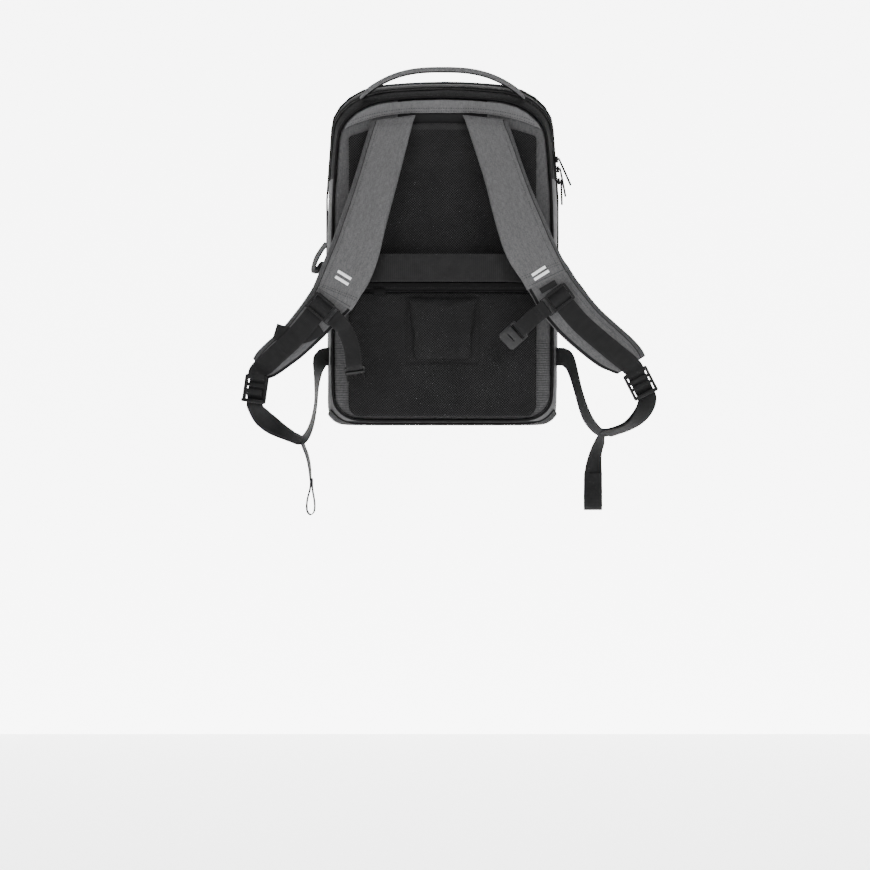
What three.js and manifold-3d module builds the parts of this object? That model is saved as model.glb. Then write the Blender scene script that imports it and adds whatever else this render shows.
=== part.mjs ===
// Laptop backpack, seen from the wearer's side along +Y, +X to the right, +Z up, in millimetres.
// The origin is the middle of the passage behind the wide strap across the back.
import * as THREE from 'three';
import { mergeVertices } from 'three/addons/utils/BufferGeometryUtils.js';
import Module from 'manifold-3d';

const wasm = await Module();
wasm.setup();

// Driving dimensions
const bodyWidth = 322;
const bodyHeight = 479;
const bodyDepth = 155;
const wall = 2.5;
const clearance = 0.35;
const topCornerWide = 86;
const topCornerTall = 62;
const topCrown = 3;
const bottomCornerWide = 43;
const bottomCornerTall = 37;
const backPanelThickness = 8;
const pipingRadius = 2.2;
const yokeHeight = 21;
const yokeSag = 9;
const yokeThickness = 2.4;
const meshThickness = 5;
const meshHalfWidth = 129;
const neckBandHeight = 14;
const pocketSeamHeight = 181;
const pocketBandHeight = 14;
const meshBottomHeight = 10;
const lumbarHeight = 88;
const lumbarHalfWidth = 48;
const lumbarThickness = 6;
const sleeveHeight = 213;
const sleeveDepth = 20;
const luggageStrapWidth = 38;
const luggageStrapThickness = 1.8;
const luggageStrapHalfSpan = 124;
const sleeveHalfWidth = 80;
const zipTapeWidth = 12;
const zipTapeThickness = 1;
const zipCoilWidth = 4;
const zipCoilHeight = 1;
const laptopZipDepth = 22;
const laptopZipEnd = 338;
const mainZipEnd = 150;
const baseThickness = 1.5;
const handleHalfSpan = 113;
const handleRise = 38;
const handleWidth = 15;
const handleThickness = 6;
const strapReach = 280;
const strapDrop = 366;
const strapBow = 30;
const strapThickness = 12;
const strapRootBelowYoke = 2.6;
const webWidth = 27;
const webThickness = 1.5;
const adjusterWidth = 25;
const sternumWidth = 22;
const plasticThickness = 3.5;
const slotEase = 0.8;
const railWidth = 3;
const anchorHeight = 93;
const anchorDepth = 10;
const webSag = 48;
const tailDrop = 60;
const pullLoopLength = 44;
const pullLoopWidth = 11;
const sternumLeftLength = 58;
const sternumRightLength = 36;
const buckleLength = 30;
const buckleWidth = 28;
const buckleThickness = 9;
const barWidth = 4;
const barThickness = 0.6;
const tagWidth = 16;
const tagHeight = 8;

// Materials
const plain = (color, roughness, metalness = 0) =>
  new THREE.MeshStandardMaterial({ color, roughness, metalness });
const greyFabric = () => plain(0x6c6c6e, 0.9);
const darkFabric = () => plain(0x3a3a3c, 0.9);
const blackMesh = () => plain(0x232324, 0.95);
const blackCord = () => plain(0x1e1e20, 0.8);
const blackWeb = () => plain(0x373739, 0.85);
const blackPlastic = () => plain(0x3b3b3d, 0.45);
const reflective = () => plain(0xe9e9ea, 0.35);

const bag = new THREE.Group();
bag.position.set(0, clearance + meshThickness + sleeveDepth / 2, -sleeveHeight);

function addPiece(name, geometry, material) {
  geometry.computeVertexNormals();
  const mesh = new THREE.Mesh(geometry, material);
  mesh.name = name;
  bag.add(mesh);
}

const mix = (a, b, share) => a + (b - a) * share;
const vec = (x, y, z) => new THREE.Vector3(x, y, z);
const along = (point, direction, distance) => point.clone().addScaledVector(direction, distance);

// A closed body through rings of equal count. Every four-cornered face is split the same way, so a
// skin over another folds in the same place, or where the ring is mirrored, its second half folds
// as its first does. Open ends get a fan from their middle, or where the ring is a thin layer there
// and back, a strip between the two.
function loft(rings, { closed = false, layered = false, mirrored = false } = {}) {
  const count = rings[0].length;
  const corners = rings.flat();
  const faces = [];
  const spans = closed ? rings.length : rings.length - 1;
  for (let i = 0; i < spans; i++) {
    const near = i * count;
    const far = ((i + 1) % rings.length) * count;
    for (let k = 0; k < count; k++) {
      const next = (k + 1) % count;
      const [a, b, c, d] = [near + k, near + next, far + next, far + k];
      faces.push(...(mirrored && k >= count / 2 ? [a, b, d, b, c, d] : [a, b, c, a, c, d]));
    }
  }
  if (!closed) {
    for (const [start, flip] of [[0, true], [(rings.length - 1) * count, false]]) {
      if (layered) {
        for (let k = 0; k < count / 2 - 1; k++) {
          const [a, b, c, d] = [k, k + 1, count - 2 - k, count - 1 - k].map((each) => start + each);
          faces.push(...(flip ? [c, b, a, d, c, a] : [a, b, c, a, c, d]));
        }
        continue;
      }
      const middle = vec(0, 0, 0);
      for (let k = 0; k < count; k++) middle.addScaledVector(corners[start + k], 1 / count);
      corners.push(middle);
      for (let k = 0; k < count; k++) {
        const next = (k + 1) % count;
        const pair = flip ? [start + next, start + k] : [start + k, start + next];
        faces.push(...pair, corners.length - 1);
      }
    }
  }
  return outwardBody(corners, faces);
}

// Turns the faces round where they point inwards.
function outwardBody(corners, faces) {
  let volume = 0;
  for (let i = 0; i < faces.length; i += 3) {
    const [a, b, c] = [corners[faces[i]], corners[faces[i + 1]], corners[faces[i + 2]]];
    volume += a.dot(b.clone().cross(c));
  }
  const index = volume > 0 ? faces : faces.reverse();
  const geometry = new THREE.BufferGeometry().setFromPoints(corners);
  geometry.setIndex(index);
  return geometry;
}

// Smooth value of one table at a row position such as 2.4, column by column.
function rowAt(table, position) {
  const last = table.length - 1;
  const i = Math.min(Math.max(Math.floor(position), 0), last - 1);
  const t = position - i;
  const rows = [Math.max(i - 1, 0), i, i + 1, Math.min(i + 2, last)].map((k) => table[k]);
  const row = {};
  for (const column of Object.keys(table[0])) {
    const [a, b, c, d] = rows.map((each) => each[column]);
    const slopeIn = (c - a) / 2;
    const slopeOut = (d - b) / 2;
    const cube = 2 * (b - c) + slopeIn + slopeOut;
    const square = 3 * (c - b) - 2 * slopeIn - slopeOut;
    row[column] = ((cube * t + square) * t + slopeIn) * t + b;
  }
  return row;
}

// Straight blend of one table at a value of its first column.
function blendAt(table, column, value) {
  let i = 0;
  while (i < table.length - 2 && table[i + 1][column] < value) i++;
  const share = (value - table[i][column]) / (table[i + 1][column] - table[i][column]);
  const row = {};
  for (const name of Object.keys(table[0])) row[name] = mix(table[i][name], table[i + 1][name], share);
  return row;
}

// The shell's sections from the back edge to the front, as shares of the body's size.
const bodySections = [
  { depth: 0.010, width: 0.944, top: 0.941, bottom: 0.008, corner: 1.00 },
  { depth: 0.060, width: 0.970, top: 0.955, bottom: 0.002, corner: 0.90 },
  { depth: 0.200, width: 0.992, top: 0.982, bottom: 0.000, corner: 0.70 },
  { depth: 0.450, width: 1.000, top: 1.000, bottom: 0.000, corner: 0.60 },
  { depth: 0.700, width: 0.984, top: 0.992, bottom: 0.000, corner: 0.66 },
  { depth: 0.860, width: 0.935, top: 0.966, bottom: 0.006, corner: 0.85 },
  { depth: 0.940, width: 0.860, top: 0.925, bottom: 0.034, corner: 1.00 },
  { depth: 0.985, width: 0.660, top: 0.820, bottom: 0.130, corner: 1.00 },
  { depth: 1.000, width: 0.280, top: 0.620, bottom: 0.330, corner: 1.00 },
];
const frontFaceFrom = 0.8;
const topSteps = 3;
const topCornerSteps = 6;
const sideSteps = 4;
const bottomCornerSteps = 4;
const bottomSteps = 2;
const halfCount = topSteps + topCornerSteps + sideSteps + bottomCornerSteps + bottomSteps;
const shoulderShare = 0.957;

// One outline of the bag, clockwise from the middle of its top, mirrored at the middle of its base.
function bagOutline(section, y, inset = 0) {
  const half = (bodyWidth / 2) * section.width - inset;
  const neck = half * shoulderShare;
  const top = bodyHeight * section.top - inset;
  const bottom = bodyHeight * section.bottom + inset;
  const tallness = section.top - section.bottom;
  const wide = topCornerWide * section.width;
  const tall = topCornerTall * tallness;
  const lowWide = bottomCornerWide * section.width * section.corner;
  const lowTall = bottomCornerTall * tallness * section.corner;
  const points = [];
  for (let i = 0; i < topSteps; i++) {
    const share = i / topSteps;
    points.push(vec((neck - wide) * share, y, top - topCrown * share * share));
  }
  for (let i = 0; i < topCornerSteps; i++) {
    const angle = (i / topCornerSteps) * (Math.PI / 2);
    const [out, up] = [wide * Math.sin(angle), tall * Math.cos(angle)];
    points.push(vec(neck - wide + out, y, top - topCrown - tall + up));
  }
  for (let i = 0; i < sideSteps; i++) {
    const share = i / sideSteps;
    const lean = Math.max(0, 1 - share / 0.25) ** 1.5;
    points.push(vec(mix(half, neck, lean), y, mix(top - topCrown - tall, bottom + lowTall, share)));
  }
  for (let i = 0; i < bottomCornerSteps; i++) {
    const angle = (i / bottomCornerSteps) * (Math.PI / 2);
    const [out, down] = [lowWide * Math.cos(angle), lowTall * Math.sin(angle)];
    points.push(vec(half - lowWide + out, y, bottom + lowTall - down));
  }
  for (let i = 0; i <= bottomSteps; i++) {
    points.push(vec((half - lowWide) * (1 - i / bottomSteps), y, bottom));
  }
  const mirrored = points.slice(1, -1).reverse().map((p) => vec(-p.x, p.y, p.z));
  return points.concat(mirrored);
}

const skinRing = (y, inset = 0) => bagOutline(blendAt(bodySections, 'depth', y / bodyDepth), y, inset);

// Outward directions of a ring that lies in an upright plane.
function outwardNormals(ring) {
  let area = 0;
  for (let k = 0; k < ring.length; k++) {
    const next = ring[(k + 1) % ring.length];
    area += ring[k].x * next.z - next.x * ring[k].z;
  }
  const turn = area > 0 ? 1 : -1;
  return ring.map((point, k) => {
    const before = ring[(k + ring.length - 1) % ring.length];
    const after = ring[(k + 1) % ring.length];
    const tangent = after.clone().sub(before).normalize();
    return vec(tangent.z * turn, 0, -tangent.x * turn);
  });
}

const offsetRing = (ring, distance) => {
  const normals = outwardNormals(ring);
  return ring.map((point, k) => along(point, normals[k], distance));
};

// A point of a ring at a fractional place such as 11.3, counted either way from the top.
function ringPoint(ring, place) {
  const low = Math.floor(place);
  const pick = (k) => ring[((k % ring.length) + ring.length) % ring.length];
  return pick(low).clone().lerp(pick(low + 1), place - low);
}

// The place on the right side of a ring at a height above the base.
function placeAtHeight(ring, height) {
  let k = 0;
  while (k < halfCount && ring[k + 1].z > height) k++;
  return k + (ring[k].z - height) / (ring[k].z - ring[k + 1].z);
}

// A band that lies on the shell between two places; its section lists [depth, height above the skin].
function skinBand(from, to, section, layered = false) {
  const layers = section.map(([depth, height]) => offsetRing(skinRing(depth), height));
  const places = [from];
  for (let k = Math.floor(from) + 1; k < to; k++) if (k - places.at(-1) > 0.15) places.push(k);
  if (to - places.at(-1) < 0.15) places.pop();
  places.push(to);
  return loft(places.map((place) => layers.map((ring) => ringPoint(ring, place))), { layered });
}

const mainZipDepth = bodySections[3].depth * bodyDepth;
const backEdge = pipingRadius;
const shellDepths = bodySections.map((row) => row.depth * bodyDepth).concat(
  [laptopZipDepth, mainZipDepth].flatMap((y) => [y - zipTapeWidth / 2, y + zipTapeWidth / 2]),
).sort((a, b) => a - b);

// Rear shell: the side wall from the back panel to the main zip, open at both ends.
function rearShell() {
  const end = mainZipDepth - clearance / 2;
  const depths = shellDepths.filter((y) => y > backEdge && y < end);
  const all = [backEdge, ...depths, end];
  const outer = all.map((y) => skinRing(y));
  const inner = all.map((y) => skinRing(y, wall)).reverse();
  return loft(outer.concat(inner), { closed: true });
}

// Front shell: a deep tray from the main zip over the front, with a gently crowned face.
function frontShell() {
  const start = mainZipDepth + clearance / 2;
  const depths = shellDepths.filter((y) => y > start);
  const outer = [start, ...depths].map((y) => skinRing(y));
  const inner = [start, ...depths].map((y) => {
    const ring = skinRing(y, wall);
    const back = y / bodyDepth > frontFaceFrom ? wall : 0;
    return ring.map((p) => vec(p.x, p.y - back, p.z));
  });
  return loft(inner.reverse().concat(outer));
}

// A flat pad on the back panel: full outline at its foot, rounded over at its face.
function pad(outline, foot, thickness, roundness, layered = false) {
  const level = (distance, inset) =>
    offsetRing(outline, -inset).map((p) => vec(p.x, foot - distance, p.z));
  const levels = [
    level(0, 0),
    level(thickness * 0.5, 0),
    level(thickness * 0.85, roundness * 0.35),
    level(thickness, roundness),
  ];
  return loft(levels, { layered });
}

// An outline with a straight or curved top and round lower corners, mirrored about the middle.
function panelOutline({ halfTop, halfBottom, bottom, topAt, radius, topRadius }) {
  const half = [];
  const steps = 6;
  for (let i = 0; i <= steps; i++) {
    const x = ((halfTop - topRadius) * i) / steps;
    half.push(vec(x, 0, topAt(x)));
  }
  const arcSteps = 4;
  for (let i = 1; i <= arcSteps; i++) {
    const angle = (i / arcSteps) * (Math.PI / 2);
    const x = halfTop - topRadius + topRadius * Math.sin(angle);
    half.push(vec(x, 0, topAt(halfTop - topRadius) - topRadius + topRadius * Math.cos(angle)));
  }
  for (let i = 0; i <= arcSteps; i++) {
    const angle = (i / arcSteps) * (Math.PI / 2);
    const x = halfBottom - radius + radius * Math.cos(angle);
    half.push(vec(x, 0, bottom + radius - radius * Math.sin(angle)));
  }
  half.push(vec(0, 0, bottom));
  return half.concat(half.slice(1, -1).reverse().map((p) => vec(-p.x, 0, p.z)));
}

const backPanelTop = bodyHeight * bodySections[0].top - pipingRadius;
const yokeSeamAt = (x) => backPanelTop - yokeHeight - yokeSag * Math.abs((2 * x) / (bodyWidth * 0.62)) ** 3;
const backPanelInset = wall + clearance;

// Back panel: a foam board with grey fabric over it, set into the rear shell's back edge.
function backPanel() {
  const rim = skinRing(backEdge, backPanelInset);
  const face = offsetRing(rim, -1.5).map((p) => vec(p.x, 0, p.z));
  const level = (ring, y) => ring.map((p) => vec(p.x, y, p.z));
  return loft([face, level(rim, backEdge), level(rim, backPanelThickness)]);
}

// Piping round the back panel's edge.
function backPiping() {
  const path = skinRing(backEdge, pipingRadius * 0.4);
  const centre = path.map((p) => vec(p.x, -clearance, p.z));
  const normals = outwardNormals(centre);
  const sides = 6;
  return loft(
    centre.map((point, k) =>
      Array.from({ length: sides }, (_, i) => {
        const angle = ((i + 0.5) / sides) * Math.PI * 2;
        const spoke = along(point, normals[k], Math.cos(angle) * pipingRadius);
        return spoke.add(vec(0, Math.sin(angle) * pipingRadius, 0));
      })),
    { closed: true },
  );
}

// Yoke: the grey band across the top of the back panel, above the curved seam.
function yoke() {
  const rim = offsetRing(skinRing(backEdge, backPanelInset), -2.5);
  const reach = placeAtHeight(rim, yokeSeamAt(bodyWidth * 0.42) + 1);
  const upper = [ringPoint(rim, -reach)];
  for (let k = -Math.floor(reach); k <= Math.floor(reach); k++) upper.push(ringPoint(rim, k));
  upper.push(ringPoint(rim, reach));
  const lower = upper.map((p) => vec(p.x, 0, yokeSeamAt(p.x))).reverse();
  return pad(upper.concat(lower), -clearance, yokeThickness, 1, true);
}

const meshFace = -clearance - meshThickness;

function upperMesh() {
  return pad(panelOutline({
    halfTop: meshHalfWidth,
    halfBottom: meshHalfWidth,
    bottom: pocketSeamHeight + pocketBandHeight + clearance,
    topAt: (x) => yokeSeamAt(x) - neckBandHeight,
    radius: 2,
    topRadius: 6,
  }), -clearance, meshThickness, 2);
}

function lowerMesh() {
  return pad(panelOutline({
    halfTop: meshHalfWidth,
    halfBottom: meshHalfWidth,
    bottom: meshBottomHeight,
    topAt: () => pocketSeamHeight - clearance,
    radius: 16,
    topRadius: 2,
  }), -clearance, meshThickness, 2);
}

function pocketBand() {
  return pad(panelOutline({
    halfTop: meshHalfWidth,
    halfBottom: meshHalfWidth,
    bottom: pocketSeamHeight,
    topAt: () => pocketSeamHeight + pocketBandHeight,
    radius: 1.5,
    topRadius: 1.5,
  }), -clearance, meshThickness * 0.8, 1.2);
}

function lumbarPad() {
  const top = pocketSeamHeight - 7;
  return pad(panelOutline({
    halfTop: lumbarHalfWidth,
    halfBottom: lumbarHalfWidth * 0.84,
    bottom: top - lumbarHeight,
    topAt: () => top,
    radius: 8,
    topRadius: 5,
  }), meshFace - clearance, lumbarThickness, 5);
}

// The direction of a route at one of its stations, halfway between those to its two neighbours.
function headingAt(stations, i) {
  const here = stations[i].point;
  const heading = vec(0, 0, 0);
  if (i > 0) heading.add(here.clone().sub(stations[i - 1].point).normalize());
  if (i < stations.length - 1) heading.add(stations[i + 1].point.clone().sub(here).normalize());
  return heading.normalize();
}

// A flat ribbon through stations of a point and the direction across it.
function ribbon(stations, width, thickness) {
  return loft(stations.map(({ point, across }, i) => {
    const tangent = headingAt(stations, i);
    const side = along(across, tangent, -across.dot(tangent)).normalize();
    const face = side.clone().cross(tangent).normalize();
    const corner = (u, v) => along(along(point, side, (u * width) / 2), face, (v * thickness) / 2);
    return [corner(-1, -1), corner(1, -1), corner(1, 1), corner(-1, 1)];
  }), { mirrored: true });
}

// Luggage strap: wide ribbed webbing sewn to the panel at both ends and standing off in the middle.
function luggageStrap() {
  const onMesh = meshFace - clearance - luggageStrapThickness / 2;
  const half = [
    { x: luggageStrapHalfSpan, off: 0 },
    { x: mix(luggageStrapHalfSpan, sleeveHalfWidth, 0.15), off: 0.02 },
    { x: mix(luggageStrapHalfSpan, sleeveHalfWidth, 0.6), off: 0.56 },
    { x: sleeveHalfWidth, off: 0.96 },
    { x: sleeveHalfWidth * 0.93, off: 1 },
  ];
  const whole = half.concat(half.slice().reverse().map((row) => ({ x: -row.x, off: row.off })));
  return ribbon(
    whole.map(({ x, off }) => ({
      point: vec(x, onMesh - off * sleeveDepth, sleeveHeight),
      across: vec(0, 0, 1),
    })),
    luggageStrapWidth,
    luggageStrapThickness,
  );
}

const zipSection = (depth) => {
  const half = zipTapeWidth / 2;
  const tape = clearance + zipTapeThickness;
  const coil = tape + zipCoilHeight;
  return [
    [depth - half, clearance], [depth, clearance], [depth + half, clearance],
    [depth + half, tape], [depth + zipCoilWidth / 2, tape], [depth + zipCoilWidth * 0.3, coil],
    [depth - zipCoilWidth * 0.3, coil], [depth - zipCoilWidth / 2, tape], [depth - half, tape],
  ];
};

function zipBand(depth, endHeight) {
  const reach = placeAtHeight(skinRing(depth), endHeight);
  return skinBand(-reach, reach, zipSection(depth));
}

// Base: a black panel under the bag that wraps up round the lower corners.
function basePanel() {
  const section = shellDepths.filter((y) => y > bodyDepth * 0.05 && y < bodyDepth * 0.9);
  const reach = topSteps + topCornerSteps + sideSteps + 1;
  const low = section.map((y) => [y, clearance]);
  const high = section.map((y) => [y, clearance + baseThickness]).reverse();
  return skinBand(reach, 2 * halfCount - reach, low.concat(high), true);
}

// Grab handle: a padded strip that arches over the top from corner to corner.
const handleMiddle = handleWidth / 2 - 1;
function topHandle() {
  const seat = skinRing(handleMiddle + handleWidth / 2);
  let k = 0;
  while (seat[k + 1].x < handleHalfSpan) k++;
  const foot = ringPoint(seat, k + (handleHalfSpan - seat[k].x) / (seat[k + 1].x - seat[k].x));
  const steps = 20;
  const rings = [];
  for (let i = 0; i <= steps; i++) {
    const share = Math.sin(((i / steps) * 2 - 1) * (Math.PI / 2));
    const rise = 1 - Math.abs(share) ** 2.7;
    const thick = handleThickness * mix(0.4, 1, Math.min(1, rise * 4));
    const tilt = Math.sign(share) * Math.abs(share) ** 1.7 * 0.8;
    const height = foot.z + clearance + thick / 2 + rise * handleRise;
    const middle = vec(share * handleHalfSpan, handleMiddle, height);
    const out = vec(Math.sin(tilt), 0, Math.cos(tilt));
    const corner = (u, v) => along(middle, out, (v * thick) / 2).add(vec(0, (u * handleWidth) / 2, 0));
    rings.push([
      corner(-0.8, -1), corner(0.8, -1), corner(1, -0.4), corner(1, 0.4),
      corner(0.8, 1), corner(-0.8, 1), corner(-1, 0.4), corner(-1, -0.4),
    ]);
  }
  return loft(rings);
}

// Shoulder straps: places of both edges as shares of the reach and the drop, stand-off as a
// share of the bow and thickness as a share of the strap's own.
const strapTables = {
  left: [
    { innerX: 0.133, innerDown: 0.000, outerX: 0.357, outerDown: 0.023, off: 0.03, thick: 0.35 },
    { innerX: 0.140, innerDown: 0.033, outerX: 0.366, outerDown: 0.056, off: 0.32, thick: 0.75 },
    { innerX: 0.207, innerDown: 0.241, outerX: 0.445, outerDown: 0.252, off: 0.66, thick: 1.00 },
    { innerX: 0.268, innerDown: 0.423, outerX: 0.508, outerDown: 0.397, off: 0.92, thick: 1.00 },
    { innerX: 0.319, innerDown: 0.572, outerX: 0.566, outerDown: 0.516, off: 1.02, thick: 1.00 },
    { innerX: 0.400, innerDown: 0.694, outerX: 0.625, outerDown: 0.630, off: 1.02, thick: 1.00 },
    { innerX: 0.484, innerDown: 0.772, outerX: 0.645, outerDown: 0.662, off: 1.00, thick: 0.95 },
    { innerX: 0.644, innerDown: 0.891, outerX: 0.775, outerDown: 0.791, off: 0.97, thick: 0.85 },
    { innerX: 0.741, innerDown: 0.947, outerX: 0.858, outerDown: 0.851, off: 0.95, thick: 0.80 },
    { innerX: 0.809, innerDown: 0.982, outerX: 0.905, outerDown: 0.888, off: 0.93, thick: 0.65 },
    { innerX: 0.850, innerDown: 0.992, outerX: 0.924, outerDown: 0.915, off: 0.93, thick: 0.45 },
  ],
  right: [
    { innerX: 0.099, innerDown: 0.000, outerX: 0.331, outerDown: 0.020, off: 0.03, thick: 0.35 },
    { innerX: 0.108, innerDown: 0.033, outerX: 0.340, outerDown: 0.053, off: 0.32, thick: 0.75 },
    { innerX: 0.196, innerDown: 0.248, outerX: 0.432, outerDown: 0.260, off: 0.66, thick: 1.00 },
    { innerX: 0.250, innerDown: 0.408, outerX: 0.502, outerDown: 0.390, off: 0.92, thick: 1.00 },
    { innerX: 0.310, innerDown: 0.545, outerX: 0.562, outerDown: 0.494, off: 1.02, thick: 1.00 },
    { innerX: 0.412, innerDown: 0.665, outerX: 0.624, outerDown: 0.584, off: 1.02, thick: 1.00 },
    { innerX: 0.461, innerDown: 0.735, outerX: 0.682, outerDown: 0.644, off: 1.00, thick: 0.95 },
    { innerX: 0.568, innerDown: 0.832, outerX: 0.777, outerDown: 0.730, off: 0.97, thick: 0.85 },
    { innerX: 0.731, innerDown: 0.933, outerX: 0.915, outerDown: 0.826, off: 0.95, thick: 0.80 },
    { innerX: 0.805, innerDown: 0.964, outerX: 0.972, outerDown: 0.873, off: 0.93, thick: 0.65 },
    { innerX: 0.851, innerDown: 0.975, outerX: 0.989, outerDown: 0.906, off: 0.93, thick: 0.45 },
  ],
};
const sides = [
  { name: 'left', sign: -1, seamRow: 5.6 },
  { name: 'right', sign: 1, seamRow: 5 },
];
const strapTop = yokeSeamAt(strapReach * strapTables.left[0].innerX) - strapRootBelowYoke;
const lastRow = strapTables.left.length - 1;

// A point of a strap: row position along it, 0 to 1 across it from the inner edge, 0 to 1 through it.
function strapPoint(side, position, across, through) {
  const row = rowAt(strapTables[side.name], position);
  const x = mix(row.innerX, row.outerX, across) * strapReach * side.sign;
  const z = strapTop - mix(row.innerDown, row.outerDown, across) * strapDrop;
  return vec(x, -row.off * strapBow - through * row.thick * strapThickness, z);
}

// The strap's section from its inner edge round its face to the slanted outer gusset.
const strapRing = [
  [0.00, 0.20], [0.01, 0.80], [0.09, 1.02], [0.45, 1.08], [0.84, 0.98],
  [0.98, 0.50], [0.98, 0.06], [0.50, 0.00], [0.03, 0.04],
];

function strapPad(side, from, to, steps) {
  const rings = [];
  for (let i = 0; i <= steps; i++) {
    const position = mix(from, to, i / steps);
    rings.push(strapRing.map(([across, through]) => strapPoint(side, position, across, through)));
  }
  return loft(rings);
}

// The three directions of a fitting: down its length, across it and out of its face.
function fittingFrame(origin, length, across) {
  const down = length.clone().normalize();
  const over = along(across, down, -across.dot(down)).normalize();
  return { origin, length: down, across: over, normal: down.clone().cross(over).normalize() };
}

const inFrame = (frame, a, b, n) =>
  along(along(along(frame.origin, frame.length, a), frame.across, b), frame.normal, n);

// A slab in a fitting's frame, from its outline [along, across] and its two levels.
function slab(frame, outline, low, high) {
  const shape = new THREE.Shape(outline.map(([a, b]) => new THREE.Vector2(a, b)));
  const plate = new THREE.ExtrudeGeometry(shape, { depth: high - low, bevelEnabled: false });
  plate.translate(0, 0, low);
  const basis = new THREE.Matrix4().makeBasis(frame.length, frame.across, frame.normal);
  return toSolid(plate.applyMatrix4(basis.setPosition(frame.origin)));
}

// A moulded plate: a slab with slots cut through it, each slot given by its limits along and across.
function mouldedPlate(frame, outline, slots, low, high) {
  const cutters = slots.map(([a0, a1, b0, b1]) =>
    slab(frame, [[a0, b0], [a1, b0], [a1, b1], [a0, b1]], low - 1, high + 1));
  const plate = slab(frame, outline, low, high);
  return fromSolid(cutters.reduce((whole, cutter) => whole.subtract(cutter), plate));
}

// A rectangle with cut corners, from its limits along and across.
function cutRectangle(a0, a1, b0, b1, cut) {
  return [
    [a0 + cut, b0], [a1 - cut, b0], [a1, b0 + cut], [a1, b1 - cut],
    [a1 - cut, b1], [a0 + cut, b1], [a0, b1 - cut], [a0, b0 + cut],
  ];
}

function toSolid(geometry) {
  const bare = geometry.clone();
  bare.deleteAttribute('normal');
  bare.deleteAttribute('uv');
  const { attributes, index } = mergeVertices(bare, 1e-4);
  const corners = [];
  for (let i = 0; i < attributes.position.count; i++) {
    corners.push(new THREE.Vector3().fromBufferAttribute(attributes.position, i));
  }
  const outward = outwardBody(corners, Array.from(index.array));
  return new wasm.Manifold(new wasm.Mesh({
    numProp: 3,
    vertProperties: new Float32Array(outward.attributes.position.array),
    triVerts: new Uint32Array(outward.index.array),
  }));
}

function fromSolid(body) {
  const { vertProperties, triVerts } = body.getMesh();
  const geometry = new THREE.BufferGeometry();
  geometry.setAttribute('position', new THREE.BufferAttribute(new Float32Array(vertProperties), 3));
  geometry.setIndex(Array.from(triVerts));
  return geometry;
}

const joined = (pieces) => fromSolid(pieces.map(toSolid).reduce((whole, each) => whole.add(each)));

// A point over a strap's face with the directions down the strap, across it and out of it.
const faceLevel = 1.1;
function facePoint(side, position, across, height) {
  const at = (row, share) => strapPoint(side, row, share, faceLevel);
  const reach = 0.05;
  const down = at(position + reach, across).sub(at(position - reach, across)).normalize();
  const over = at(position, across + reach).sub(at(position, across - reach)).normalize();
  const normal = down.clone().cross(over).normalize();
  if (normal.y > 0) normal.negate();
  const point = along(at(position, across), normal, height);
  return { point, down, normal, side: down.clone().cross(normal) };
}

// Where the webbing, sliders and bars lie on each strap: rows along it and shares across it.
const strapFittings = {
  left: {
    webStart: 5.75, webFrom: 0.57, webTo: 0.45, webEnd: 9.2, slider: 6.15, tailRows: [6.4, 7.75],
    lockDown: [-0.14, -0.99], lockTurn: -116, lockLift: 6.5,
    bars: [[4.45, 0.637, 4.55, 0.34], [4.62, 0.637, 4.72, 0.34]], sternumSag: 0.34, pitch: 50,
  },
  right: {
    webStart: 5.6, webFrom: 0.48, webTo: 0.45, webEnd: 10, slider: 6.0, tailRows: [0, 0],
    lockDown: [0.45, -0.89], lockTurn: -90, lockLift: 0,
    bars: [[4.65, 0.242, 4.56, 0.568], [4.79, 0.235, 4.72, 0.58]], sternumSag: 0.04, pitch: 12,
  },
};
const webMiddle = clearance + webThickness / 2;
const webShare = (fit, position) =>
  mix(fit.webFrom, fit.webTo, (position - fit.webStart) / (lastRow - fit.webStart));

// Two stations that round a corner at [a, n] between a flat run and a run through a slot.
const turnCorner = (a, n, inward) => [
  [a + inward * webThickness * 0.3, n], [a, n - Math.sign(n) * webThickness * 0.3],
];

// Sternum slider: a ladder frame over the strap's webbing, with a side slot for the sternum strap.
const sliderBarHalf = 2;
const sliderHalf = 10 + railWidth;
const sliderLow = webThickness + 3 * clearance;
const sliderHigh = sliderLow + plasticThickness * 0.6;
const sliderWing = webWidth / 2 + slotEase + railWidth;
const sideSlot = 5.5;
const sideRail = sliderWing + sideSlot + railWidth / 2;

function sliderFrame(side) {
  const fit = strapFittings[side.name];
  const { point, down, side: across } = facePoint(side, fit.slider, webShare(fit, fit.slider), 0);
  const inward = across.x * side.sign > 0 ? across.clone().negate() : across;
  const frame = fittingFrame(point, down, inward);
  return frame.normal.y < 0 ? frame : { ...frame, normal: frame.normal.clone().negate() };
}

function sternumSlider(side) {
  const inner = sliderWing + sideSlot + railWidth;
  const clear = sliderHalf - railWidth;
  const gap = webWidth / 2 + slotEase;
  return mouldedPlate(
    sliderFrame(side),
    cutRectangle(-sliderHalf, sliderHalf, -sliderWing, inner, railWidth / 2),
    [
      [-clear, -sliderBarHalf, -gap, gap],
      [sliderBarHalf, clear, -gap, gap],
      [-sternumWidth / 2 - slotEase, sternumWidth / 2 + slotEase, sliderWing, sliderWing + sideSlot],
    ],
    sliderLow,
    sliderHigh,
  );
}

// Ladder lock: a flat frame with cross bars at the strap's end.
const lockGap = 9;
const lock = {
  topBar: 2, slotOne: 9, barTwo: 13, slotTwo: 18.5, barThree: 22, slotThree: 31, lip: 35,
};
const lockHalfThickness = plasticThickness / 2;
const overBar = lockHalfThickness + clearance + webThickness / 2;

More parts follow.
